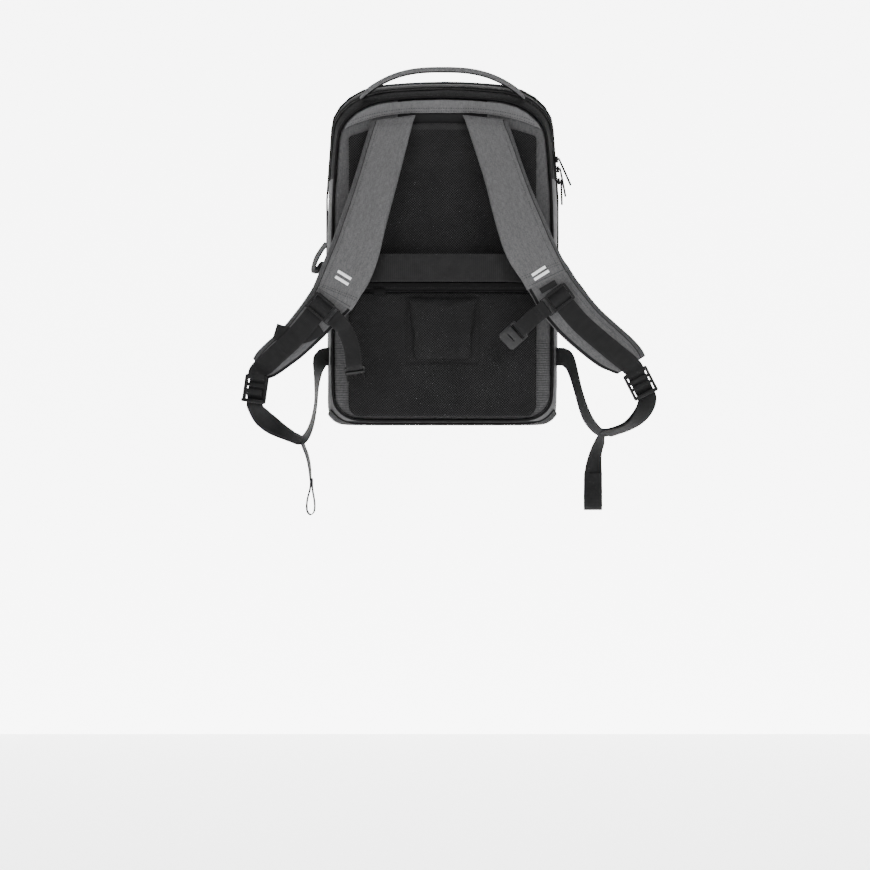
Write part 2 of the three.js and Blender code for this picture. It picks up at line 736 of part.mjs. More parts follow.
function lockFrame(side) {
  const fit = strapFittings[side.name];
  const tip = facePoint(side, lastRow, fit.webTo, webMiddle);
  const length = vec(fit.lockDown[0], 0, fit.lockDown[1]).normalize();
  const across = turnedAcross(length.clone().negate(), fit.lockTurn);
  const frame = fittingFrame(vec(0, 0, 0), length, across);
  const raised = along(tip.point, tip.normal, fit.lockLift);
  const start = along(along(raised, tip.down, lockGap / 2), length, lockGap / 2 + lock.topBar);
  return { ...frame, origin: along(start, frame.normal, -overBar) };
}

// The direction across a ribbon that runs along a tangent, turned from straight back by an angle.
function turnedAcross(tangent, degrees) {
  const angle = THREE.MathUtils.degToRad(degrees);
  const flat = tangent.clone().cross(vec(0, 1, 0)).normalize();
  return vec(0, Math.cos(angle), 0).addScaledVector(flat, Math.sin(angle));
}

function ladderLock(side) {
  const frame = lockFrame(side);
  const gap = webWidth / 2 + slotEase;
  const wing = gap + railWidth;
  const plate = mouldedPlate(
    frame,
    cutRectangle(-lock.topBar, lock.lip, -wing, wing, railWidth / 2),
    [
      [lock.topBar, lock.slotOne, -gap, gap],
      [lock.barTwo, lock.slotTwo, -gap, gap],
      [lock.barThree, lock.slotThree, -gap, gap],
    ],
    -lockHalfThickness,
    lockHalfThickness,
  );
  const lip = mouldedPlate(
    frame,
    cutRectangle(lock.slotThree, lock.lip, -wing, wing, railWidth / 2),
    [],
    -lockHalfThickness * 0.5,
    plasticThickness * 1.3,
  );
  return joined([plate, lip]);
}

// How far the strap's webbing is lifted over the loose end that passes beneath it.
function liftOverTail({ tailRows: [from, to] }, position) {
  const share = Math.min(1, 8 * (position - from), 8 * (to - position));
  return (webThickness + clearance) * Math.max(0, share);
}

// Strap webbing: from under the strap's seam, over the slider's bar, round the lock's top bar.
function strapWeb(side) {
  const fit = strapFittings[side.name];
  const slider = sliderFrame(side);
  const stations = [];
  const steps = 22;
  for (let i = 0; i <= steps; i++) {
    const position = mix(fit.webStart, fit.webEnd, i / steps);
    const height = webMiddle + liftOverTail(fit, position);
    const flat = facePoint(side, position, webShare(fit, position), height);
    const key = flat.point.clone().sub(slider.origin).dot(slider.length);
    if (Math.abs(key) < sliderHalf + 6) continue;
    stations.push({ point: flat.point, across: flat.side, key });
  }
  const across = stations[0].across;
  const turnAt = sliderBarHalf + 0.8;
  const lift = liftOverTail(fit, (fit.tailRows[0] + fit.tailRows[1]) / 2) / sliderHigh;
  for (const [a, raised] of [
    [-sliderHalf - 1, 0], [-sliderHalf + railWidth + 0.6, 0], [-turnAt, 1], [turnAt, 1],
    [sliderHalf - railWidth - 0.6, 0], [sliderHalf + 1, lift * 0.3], [sliderHalf + 4, lift],
  ]) {
    const height = webMiddle + raised * sliderHigh;
    stations.push({ point: inFrame(slider, a, 0, height), across, key: a });
  }
  stations.sort((one, two) => one.key - two.key);
  const frame = lockFrame(side);
  const turn = lock.topBar + webMiddle;
  const sign = Math.sign(frame.across.dot(across));
  const wrap = [
    [-lockGap * 0.7, overBar], [-lock.topBar - clearance, overBar], ...turnCorner(turn, overBar, -1),
    ...turnCorner(turn, -overBar, -1).reverse(), [-lock.topBar * 1.6, -overBar],
  ];
  for (const [a, n] of wrap) {
    stations.push({ point: inFrame(frame, a, 0, n), across: frame.across.clone().multiplyScalar(sign) });
  }
  return ribbon(stations, webWidth, webThickness);
}

// Adjuster webbing: from the side seam down in a bow, up through the lock, back beside itself and
// down to a sewn pull loop. Shares run from the seam to the lock and from each of them to the bow's
// lowest point; the turn is the angle of the webbing's width from straight back.
const bowTables = {
  left: {
    fromSeam: [
      { share: 0.000, drop: 0.000, turn: -90 },
      { share: 0.050, drop: 0.003, turn: -88 },
      { share: 0.100, drop: 0.030, turn: -72 },
      { share: 0.145, drop: 0.170, turn: -34 },
      { share: 0.168, drop: 0.370, turn: -16 },
      { share: 0.180, drop: 0.560, turn: -12 },
      { share: 0.225, drop: 0.777, turn: -16 },
      { share: 0.295, drop: 0.930, turn: -22 },
      { share: 0.385, drop: 1.000, turn: -26 },
    ],
    toLock: [
      { share: 0.504, drop: 0.920, turn: -28 },
      { share: 0.637, drop: 0.780, turn: -36 },
      { share: 0.770, drop: 0.600, turn: -60 },
      { share: 0.890, drop: 0.370, turn: -96 },
      { share: 0.970, drop: 0.150, turn: -124 },
    ],
    tailTurn: -8,
    loopTurn: 0,
  },
  right: {
    fromSeam: [
      { share: 0.000, drop: 0.000, turn: -90 },
      { share: 0.050, drop: 0.002, turn: -88 },
      { share: 0.100, drop: 0.015, turn: -72 },
      { share: 0.165, drop: 0.120, turn: -36 },
      { share: 0.225, drop: 0.360, turn: -24 },
      { share: 0.275, drop: 0.575, turn: -24 },
      { share: 0.340, drop: 0.790, turn: -28 },
      { share: 0.430, drop: 0.940, turn: -26 },
      { share: 0.520, drop: 1.000, turn: -24 },
    ],
    toLock: [
      { share: 0.640, drop: 0.930, turn: -22 },
      { share: 0.770, drop: 0.790, turn: -24 },
      { share: 0.880, drop: 0.580, turn: -42 },
      { share: 0.960, drop: 0.340, turn: -64 },
      { share: 0.995, drop: 0.130, turn: -84 },
    ],
    tailTurn: -36,
    loopTurn: -90,
  },
};
const tailTable = [
  { inward: 0.075, drop: 0.190 },
  { inward: 0.150, drop: 0.390 },
  { inward: 0.200, drop: 0.630 },
  { inward: 0.222, drop: 0.870 },
  { inward: 0.230, drop: 1.000 },
];
const loopTable = [
  { down: 0.22, out: 0.22 }, { down: 0.50, out: 0.80 }, { down: 0.77, out: 1.00 },
  { down: 0.93, out: 0.72 }, { down: 1.00, out: 0.00 }, { down: 0.93, out: -0.72 },
  { down: 0.77, out: -1.00 }, { down: 0.50, out: -0.84 }, { down: 0.22, out: -0.45 },
];

// The face direction of a ribbon at each of its stations.
const ribbonFaces = (stations) =>
  stations.map(({ across }, i) => across.clone().cross(headingAt(stations, i)).normalize());

function seamPoint(side) {
  const ring = offsetRing(skinRing(anchorDepth), clearance);
  const point = ringPoint(ring, placeAtHeight(ring, anchorHeight));
  return vec(point.x * side.sign, point.y, point.z);
}

function adjusterWeb(side) {
  const { fromSeam, toLock, tailTurn, loopTurn } = bowTables[side.name];
  const frame = lockFrame(side);
  const layer = webThickness + clearance;
  const back = -overBar - layer;
  const seam = seamPoint(side);
  const exit = inFrame(frame, lock.lip + 3, 0, back);
  const lowest = exit.z - webSag;
  const place = ({ share, drop }, top) =>
    vec(mix(seam.x, exit.x, share), mix(seam.y, exit.y, share), mix(top, lowest, drop));
  const keys = [
    ...fromSeam.map((row) => ({ ...place(row, seam.z), turn: row.turn })),
    ...toLock.map((row) => ({ ...place(row, exit.z), turn: row.turn })),
  ];
  const halves = Array.from({ length: 2 * keys.length - 1 }, (_, i) => rowAt(keys, i / 2));
  const route = halves.map(({ x, y, z }) => ({ point: vec(x, y, z) })).concat({ point: exit });
  const bow = halves.map(({ turn }, i) => {
    const across = turnedAcross(headingAt(route, i), turn);
    return { point: route[i].point, across };
  });
  const across = frame.across;
  const near = lock.slotTwo - webMiddle;
  const far = lock.barThree + webMiddle;
  const threading = [
    [lock.lip + 3, back], [mix(lock.barThree, lock.slotThree, 0.55), back],
    [mix(lock.slotTwo, lock.barThree, 0.7), -overBar], ...turnCorner(near, -overBar, 1),
    ...turnCorner(near, overBar, 1).reverse(), ...turnCorner(far, overBar, -1),
    [lock.slotThree - webMiddle * 1.4, -overBar], [lock.lip + 3, -overBar],
  ].map(([a, n]) => ({ point: inFrame(frame, a, 0, n), across }));
  const faces = ribbonFaces(bow);
  const returning = [];
  for (let i = bow.length - 1; i >= 2 * (fromSeam.length - 1); i--) {
    const share = (bow.length - i) / (2 * toLock.length + 1);
    const apart = layer + 2.5 * Math.sin(share * Math.PI) ** 2;
    returning.push({ point: along(bow[i].point, faces[i], apart), across: bow[i].across });
  }
  const low = returning.at(-1).point;
  const tail = tailTable.map((row) => {
    const point = vec(low.x - side.sign * row.inward * tailDrop, low.y, low.z - row.drop * tailDrop);
    return { point, across: turnedAcross(vec(0, 0, 1), mix(tailTurn, loopTurn, row.drop ** 2)) };
  });
  const stitch = tail.at(-1);
  const loopOut = stitch.across.clone().cross(vec(0, 0, -1)).normalize();
  const hang = (down, out) => along(along(stitch.point, vec(0, 0, -1), down), loopOut, out);
  const loop = loopTable.map((row) => hang(row.down * pullLoopLength, (row.out * pullLoopWidth) / 2));
  const seat = -(webThickness + clearance);
  loop.push(hang(2, seat * 1.15), hang(-tailDrop * 0.1, seat * 1.1));
  const loopStations = loop.map((point) => ({ point, across: stitch.across }));
  const stations = [...bow, ...threading, ...returning, ...tail, ...loopStations];
  return ribbon(stations, adjusterWidth, webThickness);
}

// Sternum straps: webbing looped round the slider's side rail and round its buckle's bar.
function sternumRoute(side) {
  const fit = strapFittings[side.name];
  const frame = sliderFrame(side);
  const length = side.sign < 0 ? sternumLeftLength : sternumRightLength;
  const start = sideRail + railWidth;
  const places = [];
  for (const share of [0.3, 0.65, 1]) {
    const reach = start + length * share;
    places.push(inFrame(frame, length * fit.sternumSag * share * share * 1.6, reach, -share * 5));
  }
  const [before, end] = places.slice(-2);
  const heading = end.clone().sub(before).normalize();
  const across = frame.length.clone();
  const flat = fittingFrame(end, heading, across);
  const pitch = THREE.MathUtils.degToRad(fit.pitch);
  const facing = flat.normal.y < 0 ? flat.normal : flat.normal.clone().negate();
  const tipped = heading.clone().multiplyScalar(Math.cos(pitch)).addScaledVector(facing, -Math.sin(pitch));
  const buckle = fittingFrame(along(end, tipped, webThickness + 2), tipped, flat.across);
  const normal = buckle.normal.dot(facing) > 0 ? buckle.normal : buckle.normal.clone().negate();
  return { frame, places, buckle: { ...buckle, normal } };
}

function sternumWeb(side) {
  const { frame, places, buckle } = sternumRoute(side);
  const low = sliderLow - clearance - webThickness / 2;
  const high = sliderHigh + clearance + webThickness / 2;
  const round = sideRail - railWidth / 2 - webMiddle;
  const cut = webThickness * 0.3;
  const rail = [
    [sideRail + railWidth, low], [round + cut, low], [round, low + cut], [round, high - cut],
    [round + cut, high], [sideRail + railWidth, high], [sideRail + railWidth * 3, high + 0.4],
  ];
  const across = frame.length;
  const stations = rail.map(([b, n]) => ({ point: inFrame(frame, 0, b, n), across }));
  for (const point of places.slice(0, -1)) stations.push({ point, across });
  const over = buckleBarHalf + webMiddle;
  const far = railWidth + webMiddle;
  const wrap = [
    [-railWidth, over], ...turnCorner(far, over, -1), ...turnCorner(far, -over, -1).reverse(),
    [-railWidth * 2, -over],
  ];
  for (const [a, n] of wrap) stations.push({ point: inFrame(buckle, a, 0, n), across: buckle.across });
  return ribbon(stations, sternumWidth, webThickness);
}

// The loose end of the left sternum strap: from below the slider, under the strap's webbing and out
// over the strap's outer edge, where it is cut square.
const tailRoute = [
  { row: 6.46, share: 0.26 },
  { row: 6.60, share: 0.30 },
  { row: 6.80, share: 0.40 },
  { row: 7.00, share: 0.56 },
  { row: 7.18, share: 0.79 },
  { row: 7.36, share: 1.03 },
];

function sternumTail(side) {
  const stations = tailRoute.map(({ row, share }) => facePoint(side, row, share, webMiddle));
  const across = ({ normal }, i) => normal.clone().cross(headingAt(stations, i));
  return ribbon(
    stations.map((station, i) => ({ point: station.point, across: across(station, i) })),
    sternumWidth,
    webThickness,
  );
}

const buckleBarHalf = 1.3;
const buckleSlot = 5;
const buckleSolid = railWidth + buckleSlot;

// The end of a buckle that the webbing goes round: a thin bar between two cheeks.
function buckleEye(frame) {
  const gap = sternumWidth / 2 + slotEase;
  return mouldedPlate(
    frame,
    cutRectangle(0, buckleSolid + 2, -buckleWidth / 2, buckleWidth / 2, 1),
    [[railWidth, buckleSolid, -gap, gap]],
    -buckleBarHalf,
    buckleBarHalf,
  );
}

function femaleBuckle(side) {
  const { buckle } = sternumRoute(side);
  const half = buckleWidth / 2;
  const top = buckleThickness / 2;
  const shell = mouldedPlate(
    buckle,
    cutRectangle(buckleSolid, buckleLength, -half, half, 3),
    [[buckleSolid + 9, buckleSolid + 10.6, -half * 0.45, half * 0.45]],
    -top,
    top,
  );
  const mouth = mouldedPlate(
    buckle,
    cutRectangle(buckleSolid + 3, buckleLength + 1, -half + 3, half - 3, 0.5),
    [],
    -top + 2,
    top - 2,
  );
  return fromSolid(toSolid(shell).subtract(toSolid(mouth)).add(toSolid(buckleEye(buckle))));
}

function maleBuckle(side) {
  const { buckle } = sternumRoute(side);
  const half = buckleWidth / 2;
  const body = mouldedPlate(
    buckle,
    cutRectangle(buckleSolid, buckleSolid + 6, -half, half, 1.5),
    [],
    -buckleThickness / 3,
    buckleThickness / 3,
  );
  const prongs = [-half + 3.5, 0, half - 3.5].map((middle) => mouldedPlate(
    buckle,
    cutRectangle(buckleSolid + 5, buckleLength - (middle === 0 ? 4 : 0), middle - 2, middle + 2, 1),
    [],
    -buckleBarHalf,
    buckleBarHalf,
  ));
  return joined([buckleEye(buckle), body, ...prongs]);
}

// Reflective bars and the bare label, laid on the straps.
function strapBar(side, [rowA, shareA, rowB, shareB]) {
  const height = clearance + barThickness / 2;
  const ends = [facePoint(side, rowA, shareA, height), facePoint(side, rowB, shareB, height)];
  const stations = [0, 0.5, 1].map((t) => {
    const middle = facePoint(side, mix(rowA, rowB, t), mix(shareA, shareB, t), height);
    return { point: middle.point, across: ends[0].down };
  });
  return ribbon(stations, barWidth, barThickness);
}

function strapLabel(side) {
  const height = clearance + barThickness / 2;
  const stations = [0.22, 0.40, 0.58].map((share) => ({
    point: facePoint(side, side.seamRow + 0.3 - share * 0.1, share, height).point,
    across: facePoint(side, side.seamRow + 0.3, share, height).down,
  }));
  return ribbon(stations, tagHeight, barThickness);
}

// Bare tag sewn to the pocket seam beside the left strap.
function seamTag() {
  const face = -clearance - meshThickness - clearance - barThickness / 2;
  const inner = -strapReach * strapTables.left[5].innerX + tagWidth * 1.1;
  const stations = [0, 1].map((t) => ({
    point: vec(inner + t * tagWidth, face, pocketSeamHeight + 1),
    across: vec(0, 0, 1),
  }));
  return ribbon(stations, tagHeight, barThickness);
}

// Side tab: a short loop of webbing sewn into the left side.
const tabHeight = 240;
const tabReach = 18;
const tabDepth = 40;
function sideTab() {
  const ring = offsetRing(skinRing(tabDepth), clearance + webThickness / 2);
  const rooted = (height) => {
    const point = ringPoint(ring, placeAtHeight(ring, height));
    return vec(-point.x, point.y, point.z);
  };
  const upper = rooted(tabHeight + 12);
  const lower = rooted(tabHeight - 22);
  const points = [
    upper,
    vec(upper.x - tabReach * 0.35, upper.y, tabHeight + 4),
    vec(upper.x - tabReach * 0.85, upper.y, tabHeight - 12),
    vec(upper.x - tabReach, upper.y, tabHeight - 26),
    vec(upper.x - tabReach * 0.72, upper.y, tabHeight - 26),
    vec(upper.x - tabReach * 0.35, upper.y, tabHeight - 18),
    lower,
  ];
  return ribbon(points.map((point) => ({ point, across: vec(0, 1, 0) })), sternumWidth * 0.8, webThickness);
}

// Zip sliders and their pulls on the right side.
const zipPulls = [
  { depth: laptopZipDepth, height: bodyHeight * 0.764, length: 34, swing: 24 },
  { depth: mainZipDepth, height: bodyHeight * 0.747, length: 34, swing: 11 },
  { depth: mainZipDepth, height: bodyHeight * 0.712, length: 28, swing: 2 },
];
const sliderBodyLength = 9;
const sliderBodyWidth = 7;
const sliderBodyHeight = 3.4;
const pullRing = 3.2;
const pullWire = 0.8;

function zipFrame({ depth, height }) {
  const ring = skinRing(depth);
  const place = placeAtHeight(ring, height);
  const point = ringPoint(ring, place);
  const down = ringPoint(ring, place + 0.2).sub(ringPoint(ring, place - 0.2)).normalize();
  const out = vec(-down.z, 0, down.x).multiplyScalar(-down.z > 0 ? 1 : -1);
  const top = clearance * 2 + zipTapeThickness + zipCoilHeight;
  return { origin: along(point, out, top), length: down, across: vec(0, 1, 0), normal: out };
}

function zipSlider(zip) {
  const half = sliderBodyLength / 2;
  const wing = sliderBodyWidth / 2;
  return mouldedPlate(zipFrame(zip), cutRectangle(-half, half, -wing, wing, 1.5), [], 0, sliderBodyHeight);
}

function zipPull(zip) {
  const frame = zipFrame(zip);
  const swing = THREE.MathUtils.degToRad(zip.swing);
  const down = vec(Math.sin(swing), 0, -Math.cos(swing));
  const lift = sliderBodyHeight + 2 * clearance + pullWire;
  const centre = along(along(frame.origin, frame.normal, lift), down, pullRing * 0.6);
  const ring = new THREE.TorusGeometry(pullRing, pullWire, 6, 12);
  const basis = new THREE.Matrix4().makeBasis(down, vec(0, 1, 0), down.clone().cross(vec(0, 1, 0)));
  ring.applyMatrix4(basis.setPosition(centre));
  const across = vec(0, 1, 0);
  const origin = along(centre, down, pullRing);
  const handle = { origin, length: down, across, normal: down.clone().cross(across) };
  const bar = mouldedPlate(handle, cutRectangle(-0.4, zip.length, -2.2, 2.2, 1), [], -0.9, 0.9);
  return joined([ring, bar]);
}

addPiece('rear_shell', rearShell(), greyFabric());
addPiece('front_shell', frontShell(), greyFabric());
addPiece('back_panel', backPanel(), greyFabric());
addPiece('back_piping', backPiping(), blackCord());
addPiece('yoke', yoke(), greyFabric());
addPiece('back_mesh_upper', upperMesh(), blackMesh());
addPiece('back_mesh_lower', lowerMesh(), blackMesh());
addPiece('pocket_band', pocketBand(), darkFabric());
addPiece('lumbar_pad', lumbarPad(), blackMesh());
addPiece('seam_tag', seamTag(), darkFabric());
addPiece('luggage_strap', luggageStrap(), blackWeb());
addPiece('laptop_zip', zipBand(laptopZipDepth, laptopZipEnd), blackCord());
addPiece('main_zip', zipBand(mainZipDepth, mainZipEnd), blackCord());
addPiece('base_panel', basePanel(), darkFabric());
addPiece('top_handle', topHandle(), darkFabric());
addPiece('side_tab', sideTab(), blackWeb());
zipPulls.forEach((zip, i) => {
  addPiece(`zip_slider_${i + 1}`, zipSlider(zip), blackPlastic());
  addPiece(`zip_pull_${i + 1}`, zipPull(zip), blackPlastic());
});
for (const side of sides) {
  addPiece(`strap_upper_${side.name}`, strapPad(side, 0, side.seamRow - 0.01, 12), greyFabric());
  addPiece(`strap_lower_${side.name}`, strapPad(side, side.seamRow + 0.01, lastRow, 10), greyFabric());
  addPiece(`strap_web_${side.name}`, strapWeb(side), blackWeb());
  addPiece(`sternum_slider_${side.name}`, sternumSlider(side), blackPlastic());
  addPiece(`sternum_web_${side.name}`, sternumWeb(side), blackWeb());
  if (side.sign < 0) addPiece('sternum_tail_left', sternumTail(side), blackWeb());
  addPiece(`ladder_lock_${side.name}`, ladderLock(side), blackPlastic());
  addPiece(`adjuster_web_${side.name}`, adjusterWeb(side), blackWeb());
  strapFittings[side.name].bars.forEach((bar, i) => {
    addPiece(`reflective_bar_${side.name}_${i + 1}`, strapBar(side, bar), reflective());
  });
}
addPiece('buckle_male', maleBuckle(sides[0]), blackPlastic());
addPiece('buckle_female', femaleBuckle(sides[1]), blackPlastic());
addPiece('strap_label', strapLabel(sides[1]), darkFabric());

export default bag;
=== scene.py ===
import math

import bmesh
import bpy
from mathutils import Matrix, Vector, noise
from mathutils.bvhtree import BVHTree


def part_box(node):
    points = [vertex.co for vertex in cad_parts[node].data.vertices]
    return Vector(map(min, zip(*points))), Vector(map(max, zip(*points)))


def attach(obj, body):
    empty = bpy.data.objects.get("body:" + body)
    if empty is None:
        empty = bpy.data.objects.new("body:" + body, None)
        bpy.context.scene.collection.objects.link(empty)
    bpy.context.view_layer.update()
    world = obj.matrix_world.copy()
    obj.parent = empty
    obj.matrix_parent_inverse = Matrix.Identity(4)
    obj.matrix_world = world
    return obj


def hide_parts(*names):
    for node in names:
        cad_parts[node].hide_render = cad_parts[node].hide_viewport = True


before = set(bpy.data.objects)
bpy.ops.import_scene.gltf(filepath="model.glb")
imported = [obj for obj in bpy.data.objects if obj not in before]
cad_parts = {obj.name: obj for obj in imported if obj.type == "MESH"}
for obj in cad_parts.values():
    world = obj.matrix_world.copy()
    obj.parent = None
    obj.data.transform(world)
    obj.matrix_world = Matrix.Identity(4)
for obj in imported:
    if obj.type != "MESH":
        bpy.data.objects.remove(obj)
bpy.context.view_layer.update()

# The bag's two shells. The rear one is the side wall round the laptop compartment, the front one is
# the deep tray of the main compartment. Both are heather grey woven polyester over thin foam, cut
# and sewn, with a black gusset over the top where the zips run.
shell_low, shell_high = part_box("rear_shell")
base_z = shell_low.z
gusset_end_z = base_z + 0.338
black_base_z = base_z + 0.004


def only(piece):
    """Selects one piece alone and makes it active."""
    bpy.ops.object.select_all(action="DESELECT")
    piece.select_set(True)
    bpy.context.view_layer.objects.active = piece


def cut_from(node, name):
    """A copy of a solid's mesh with its loose triangles joined, selected and active."""
    piece = bpy.data.objects.new(name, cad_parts[node].data.copy())
    bpy.context.scene.collection.objects.link(piece)
    piece.data.materials.clear()
    only(piece)
    bpy.ops.object.mode_set(mode="EDIT")
    bpy.ops.mesh.select_all(action="SELECT")
    bpy.ops.mesh.customdata_custom_splitnormals_clear()
    bpy.ops.mesh.remove_doubles(threshold=2e-6)
    bpy.ops.mesh.mark_sharp(clear=True)
    bpy.ops.object.mode_set(mode="OBJECT")
    return piece


def add_and_apply(piece, kind, **settings):
    only(piece)
    modifier = piece.modifiers.new(kind.title(), kind)
    for key, value in settings.items():
        setattr(modifier, key, value)
    bpy.ops.object.modifier_apply(modifier=modifier.name)


def quads_with_creases(piece, sharp_degrees):
    """Joins triangle pairs and creases the edges where the cloth turns sharply."""
    flat = math.radians(60)
    only(piece)
    bpy.ops.object.mode_set(mode="EDIT")
    bpy.ops.mesh.select_all(action="SELECT")
    bpy.ops.mesh.tris_convert_to_quads(face_threshold=flat, shape_threshold=flat)
    bpy.ops.mesh.select_all(action="DESELECT")
    bpy.ops.mesh.select_mode(type="EDGE")
    bpy.ops.mesh.edges_select_sharp(sharpness=math.radians(sharp_degrees))
    bpy.ops.transform.edge_crease(value=1.0)
    bpy.ops.mesh.select_mode(type="VERT")
    bpy.ops.object.mode_set(mode="OBJECT")


def relief(piece, height, size, offset=0.0, keep=None):
    """Moves the cloth in and out in soft waves of one size, less where keep says so."""
    finer, finer_share = 2.3, 0.4
    normals = [v.normal.copy() for v in piece.data.vertices]
    for vertex, normal in zip(piece.data.vertices, normals):
        place = vertex.co / size + Vector((offset, offset * 0.7, 0))
        wave = noise.noise(place) + finer_share * noise.noise(place * finer)
        share = keep(vertex.co) if keep else 1.0
        vertex.co += normal * (wave * height * share)


def smooth_faces(piece, degrees):
    """Shades a piece smooth, except over edges that turn by more than so many degrees."""
    only(piece)
    bpy.ops.object.shade_smooth_by_angle(angle=math.radians(degrees))


def settle(piece, material, slot, *nodes):
    """Gives a finished piece its cloth if it has none, hides the solids it stands for and hangs it on the
    root. The slot is not used.
    """
    if not piece.data.materials:
        piece.data.materials.append(material)
    if nodes:
        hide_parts(*nodes)
    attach(piece, "root")
    return piece


class Wire:
    """A shader value. Sums and products of wires add Math nodes; make() adds any other node."""

    def __init__(self, tree, socket=None):
        self.tree, self.socket = tree, socket

    def make(self, kind, settings, sockets, output=0):
        node = self.tree.nodes.new(kind)
        for key, value in settings.items():
            setattr(node, key, value)
        for key, value in sockets.items():
            if isinstance(value, Wire):
                self.tree.links.new(value.socket, node.inputs[key])
            else:
                node.inputs[key].default_value = value
        return Wire(self.tree, node.outputs[output])

    def math(self, operation, *values):
        inputs = {i: value for i, value in enumerate((self, *values))}
        return self.make("ShaderNodeMath", {"operation": operation}, inputs)

    def __add__(self, other):
        return self.math("ADD", other)

    __radd__ = __add__

    def __mul__(self, other):
        return self.math("MULTIPLY", other)

    def __sub__(self, other):
        return self.math("SUBTRACT", other)

    def sin(self):
        return self.math("SINE")

    def size(self):
        return self.math("ABSOLUTE")

    def cell(self):
        """The distance from the middle of a repeat of one, from 0 to 0.5."""
        return (self.math("FRACT") - 0.5).size()

    def step(self, low, high):
        """0 below low, 1 above high, smooth between."""
        return self.make("ShaderNodeMapRange", {"interpolation_type": "SMOOTHSTEP"},
                         {"Value": self, "From Min": low, "From Max": high})

    def blend(self, first, second):
        """A colour between two colours, with this value as the share of the second."""
        sockets = {0: self, 6: first, 7: second}
        return self.make("ShaderNodeMix", {"data_type": "RGBA"}, sockets, 2)

    def at_least(self, other):
        return self.math("MAXIMUM", other)


def grey(level):
    """A grey, a trace cooler than neutral."""
    return (level, level, level * 1.02, 1.0)


def on_object(start):
    """The place on the object, in metres."""
    return start.make("ShaderNodeTexCoord", {}, {}, 3)


def begin_finish(name):
    """A new material, its start wire and the object's x, y and z in millimetres."""
    material = bpy.data.materials.new(name)
    material.use_nodes = True
    start = Wire(material.node_tree)
    axes = {"Vector": on_object(start)}
    x, y, z = (start.make("ShaderNodeSeparateXYZ", {}, axes, i) * 1000.0 for i in range(3))
    return material, start, x, y, z


def end_finish(material, colour, roughness, height, depth, shine=0.08):
    """Wires a material's colour, roughness and relief; depth is the relief's height in metres."""
    shader = material.node_tree.nodes["Principled BSDF"]
    start = Wire(material.node_tree)
    links = material.node_tree.links
    for socket, value in (("Base Color", colour), ("Roughness", roughness)):
        if isinstance(value, Wire):
            links.new(value.socket, shader.inputs[socket])
        else:
            shader.inputs[socket].default_value = value
    bump = start.make("ShaderNodeBump", {}, {"Strength": 1.0, "Distance": depth, "Height": height})
    links.new(bump.socket, shader.inputs["Normal"])
    shader.inputs["Specular IOR Level"].default_value = shine
    return material


def grain(start, u, v, w, size_u, size_v, detail=2.0):
    """Soft noise with its own length across and along, in millimetres."""
    axes = {0: u * (1.0 / size_u), 1: w, 2: v * (1.0 / size_v)}
    vector = start.make("ShaderNodeCombineXYZ", {}, axes)
    return start.make("ShaderNodeTexNoise", {}, {"Vector": vector, "Scale": 1.0, "Detail": detail})


def streaks(start, across, along):
    """Two-tone yarns: pale and dark ones run across and along in short streaks."""
    weft = grain(start, across, along, 0.0, 4.5, 0.75)
    warp = grain(start, across, along, 7.3, 0.8, 5.5)
    return weft * 0.5 + warp * 0.5


def woven(across, along, pitch):
    """The relief of a plain weave whose yarns repeat at one pitch in millimetres."""
    return (across * (math.tau / pitch)).sin() * (along * (math.tau / pitch)).sin()


yarn_pitch = 1.1


def heather(name, light, dark, gusset=False):
    """Two-tone woven polyester with slow patches. With a gusset it is black at the top and foot."""
    material, start, x, y, z = begin_finish(name)
    across = x + y
    yarns = streaks(start, across, z)
    patch = grain(start, across, z, 3.1, 60.0, 60.0, 1.0)
    tone = (yarns + (patch - 0.5) * 0.10).step(0.30, 0.70)
    colour = tone.blend(grey(dark), grey(light))
    height = woven(across, z, yarn_pitch) * 0.25 + tone * 0.3
    if gusset:
        rim = z.step(gusset_end_z * 1000 - 1.2, gusset_end_z * 1000 + 0.2)
        rim = rim + (z * -1.0).step(-black_base_z * 1000 - 0.4, -black_base_z * 1000 + 0.4)
        ridge = grain(start, across, z, 1.7, 1.1, 1.1)
        colour = rim.blend(colour, (ridge.step(0.3, 0.7)).blend(grey(0.008), grey(0.016)))
    return end_finish(material, colour, 0.9, height, 0.00022)


heather_grey = heather("heather grey polyester", 0.105, 0.068)
heather_gusset = heather("heather grey polyester with black gusset", 0.105, 0.068, gusset=True)
shell_rims = (shell_low.y, shell_high.y)
calm_near_rims = 0.02


def away_from_rims(co):
    """How freely the cloth may wave: not at all on the shells' seams, fully 20 mm from them."""
    return min(1.0, min(abs(co.y - rim) for rim in shell_rims) / calm_near_rims)


shells = (("rear_shell", "side_wall", heather_gusset), ("front_shell", "front_tray", heather_grey))
for node, name, finish in shells:
    wall = cut_from(node, name)
    quads_with_creases(wall, 50)
    add_and_apply(wall, "SUBSURF", levels=3, render_levels=3)
    relief(wall, 0.0016, 0.055, keep=away_from_rims)
    relief(wall, 0.0004, 0.018, 4.0, keep=away_from_rims)
    smooth_faces(wall, 50)
    settle(wall, finish, "grey_fabric", node)

# The back board: foam covered in the same grey cloth and set into the side wall. Only its borders
# show beside the air mesh, where the cloth has fine raised ribs lower down.
upper_mesh_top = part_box("back_mesh_upper")[1].z
black_board_z = upper_mesh_top - 0.004
black_board_half = 61.0
rib_top = base_z + 0.118
rib_pitch = 3.4
board_set_back = 0.0006


def evened(piece, voxel, smoothing=2):
    """Gives a piece an even mesh, rounded a little at its edges as foam under cloth is."""
    add_and_apply(piece, "REMESH", mode="VOXEL", voxel_size=voxel)
    add_and_apply(piece, "SMOOTH", factor=0.5, iterations=smoothing)


